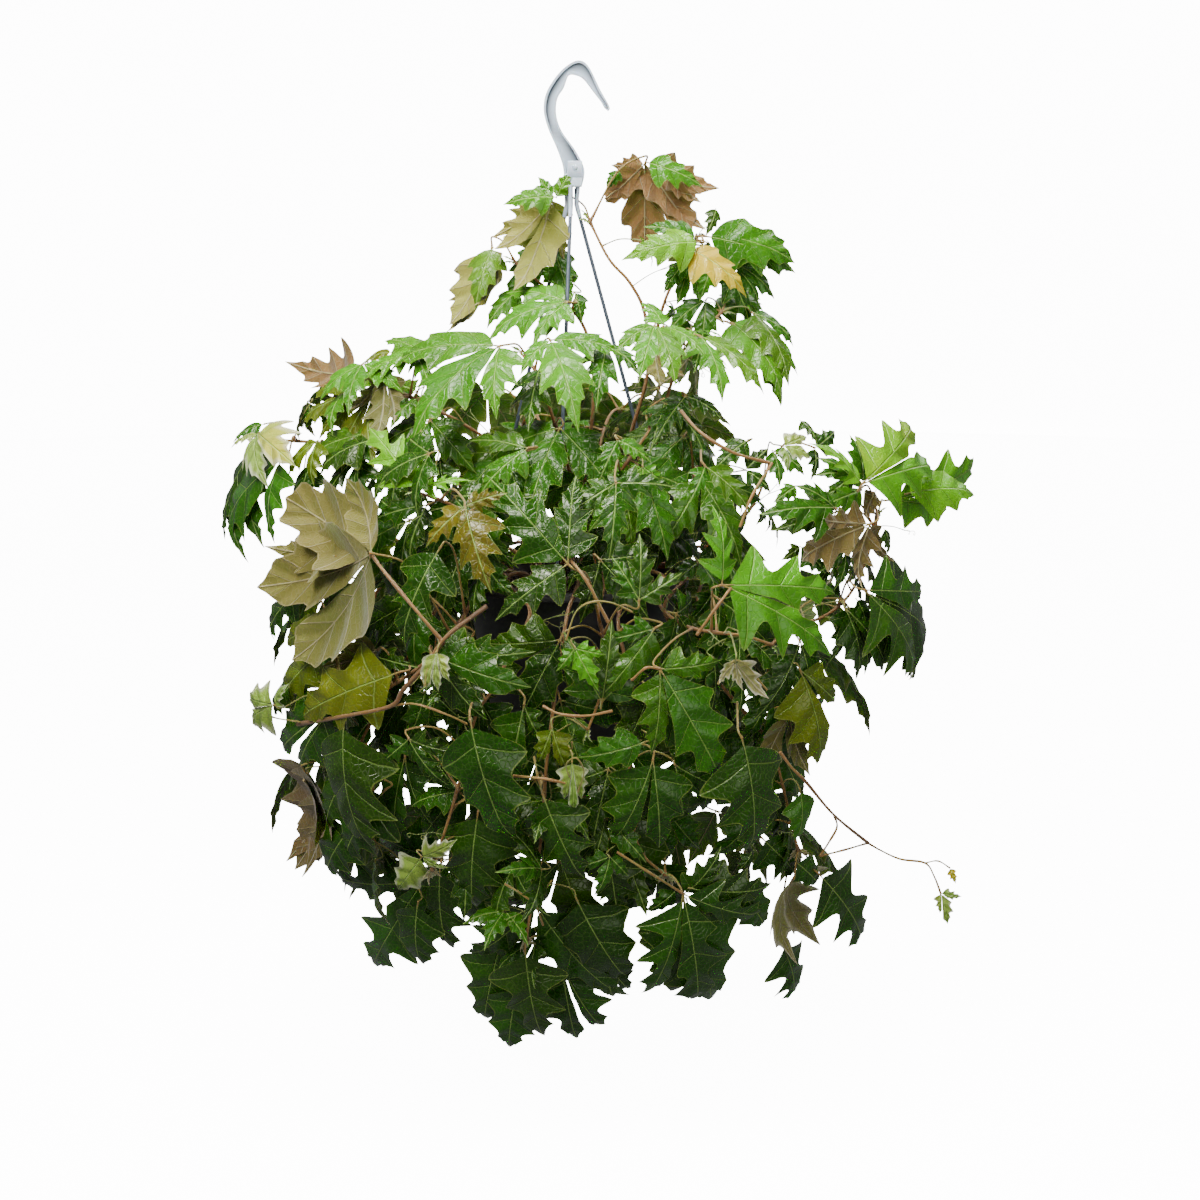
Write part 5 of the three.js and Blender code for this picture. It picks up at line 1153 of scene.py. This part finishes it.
grow = np.random.default_rng(20)
for name, shoot in SHOOTS.items():
    growth = Foliage()
    points, leaves = plan[name]
    line = smooth_rows(points, 8)
    radius = STEM_RADIUS - STEM_TAPER * np.linspace(0, 1, len(line))
    large = shoot.get("leaves", [])
    for number, (*leaf, stalk) in enumerate(leaves):
        off_joint = np.linalg.norm(line - stalk[0], axis=1) / JOINT_LENGTH
        radius = radius + JOINT_SWELL * np.exp(-off_joint ** 2)
        tint, shape = tint_at(leaf[0][2]), PLAIN
        if number < len(large):
            letter = large[number][0]
            tint = TINTS[letter.lower()]
            shape = BROAD if letter in "qx" else FINGERS if letter.isupper() else CUT
        growth.add_leaf(leaf, shape, tint, grow, stalk)
    growth.lines.append(np.column_stack([line, radius]))

    for row in shoot.get("small", []):
        letter, leaf = row[0], leaf_at(row, 0)
        stalk = None if letter.isupper() else stalk_points(nearest_on(line, leaf[0]), *leaf, (0, 0, 0.15))
        growth.add_leaf(leaf, BROAD if letter == "Q" else PLAIN, TINTS[letter.lower()], grow, stalk, 0.8)

    for thickness, *places in shoot.get("twigs", []):
        twig = smooth_rows([in_crown(*place) for place in places], 6)
        knobs = 0.68 + 0.24 * np.cos(2 * math.pi * np.linspace(0, 1, len(twig))) ** 2
        growth.lines.append(np.column_stack([twig, thickness * knobs]))

    # Small leaves at the bare joints, on short stalks that turn in and out of the foliage.
    for k, spot in enumerate(line[int(BARE_FROM * len(line))::BARE_STEP]):
        out = unit(flat_on(spot - (MIDDLE_X, 0, spot[2]), SKY) + 0.01)
        inward = k % 3 > 0
        way = unit((-0.7 if inward else 1.0) * out + 0.7 * grow.standard_normal(3) - 0.1 * SKY)
        foot = spot + grow.uniform(16, 40) * way
        facing = unit(out + 0.7 * SKY + 0.3 * grow.standard_normal(3))
        sway = (0.2 if inward else 0.6) * way - 0.9 * SKY + (0.6 if inward else 0.4) * grow.standard_normal(3)
        reach = (60, 92) if inward and "course" in shoot else (44, 72) if inward else (28, 48)
        leaf = whole_leaf(foot, foot + grow.uniform(*reach) * unit(sway), facing)
        ends = [foot, *leaf[1]]
        near = inward or np.hypot(foot[0] - MIDDLE_X, foot[1]) < BUSHY_RADIUS
        if near and inside_solids(ends) and clear_of_pot(ends):
            tint = np.array(tint_at(spot[2])) + (0 if inward else grow.uniform(0, .2), 0, 0)
            growth.add_leaf(leaf, SMALL, tint, grow, stalk_points(spot, *leaf[:2], facing, (0, 0, 0.1)), 0.7)
    for spot in line[int(TENDRILS_FROM * len(line))::TENDRIL_STEP]:
        way = unit(spot - (MIDDLE_X, 0, spot[2])) + 0.8 * grow.standard_normal(3)
        coil = tendril(spot, way, grow.uniform(28, 55), grow)
        if inside_solids([p[:3] for part in coil for p in part]):
            growth.lines += coil

    # The downy tip: three folded young leaflets.
    end, ahead = line[-1], unit(line[-1] - line[-2])
    facing = unit(flat_on(SKY + 0.2 * grow.standard_normal(3), ahead))
    leaf = whole_leaf(end, end + 15 * unit(ahead - 0.3 * SKY), facing)
    if inside_solids(leaf[1]):
        growth.add_leaf(leaf, SMALL, TINTS["w"], grow)

    name = "shoot_" + name
    blades = growth.blades(name + "_leaves", [leaf_top, leaf_under])
    wood = tubes(name + "_stem", [np.array(row) / 1000 for row in growth.lines], bark)
    for piece in (blades, wood):
        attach(piece, "root")
        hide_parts(name)

# ------------------------------------------------------------------ studio
# A pale round floor that curves up into a wall, soft light from above, the front and behind, and the camera.

# Radius and height of the round floor and of the wall that it curves up into.
FLOOR_LINE = [(2.9, -0.885), (3.3, -0.84), (3.55, -0.7), (3.65, -0.3), (3.65, 4.0)]
# Each lamp: its place, the point that it looks at, its size, its power and its spread in degrees.
LAMPS = {"key": ((-1.1, -1.9, 1.5), (0, 0, -0.45), 0.9, 74, 180),
    "fill": ((1.4, -2.2, -0.4), (0, 0, -0.65), 1.8, 25, 180),
    "window": ((-0.9, -2.2, 0.9), (0, 0, -0.4), 0.45, 14, 180),
    "top": ((0.05, -0.2, 1.6), (0, 0, -0.3), 0.9, 62, 180),
    "gleam": ((-0.35, -0.4, 0.95), (-0.06, -0.12, -0.25), 0.3, 1.1, 45),
    "rear": ((0.9, 2.1, 1.3), (0, 0, -0.5), 1.5, 22, 180)}
# The width that the camera's frame takes in at the plant's middle, in metres.
FRAME_WIDTH = 1.08

pale_floor, _, f_body = new_finish("pale floor")
feed(f_body, {"Base Color": (0.86, 0.86, 0.86, 1), "Roughness": 0.22, "Specular IOR Level": 1.0,
    "Emission Color": (1, 1, 1, 1), "Emission Strength": 13.0})
studio = turned("studio", [(0, FLOOR_LINE[0][1]), *smooth_rows(FLOOR_LINE, 6)], 64, pale_floor)
studio.visible_diffuse = studio.visible_glossy = studio.visible_transmission = False

for name, (place, aim, size, power, spread) in LAMPS.items():
    light = bpy.data.lights.new(name, "AREA")
    light.energy, light.size, light.spread = power, size, math.radians(spread)
    lamp = linked(name, light)
    lamp.location = place
    lamp.rotation_euler = (Vector(aim) - Vector(place)).to_track_quat("-Z", "Y").to_euler()
world = bpy.data.worlds.new("studio air")
world.use_nodes = True
feed(world.node_tree.nodes["Background"].inputs, {0: (1, 1, 1, 1), 1: 0.22})
bpy.context.scene.world = world

away = EYE_DISTANCE / 1000
sight = bpy.data.cameras.new("sight")
sight.sensor_width = 36
sight.lens = 36 * away / FRAME_WIDTH
viewer = linked("sight", sight)
viewer.location = Vector(SHEET_CENTRE / 1000) + Vector((0, -away * math.cos(EYE_RISE), away * math.sin(EYE_RISE)))
viewer.rotation_euler = (math.radians(90) - EYE_RISE, 0, 0)
bpy.context.scene.camera = viewer
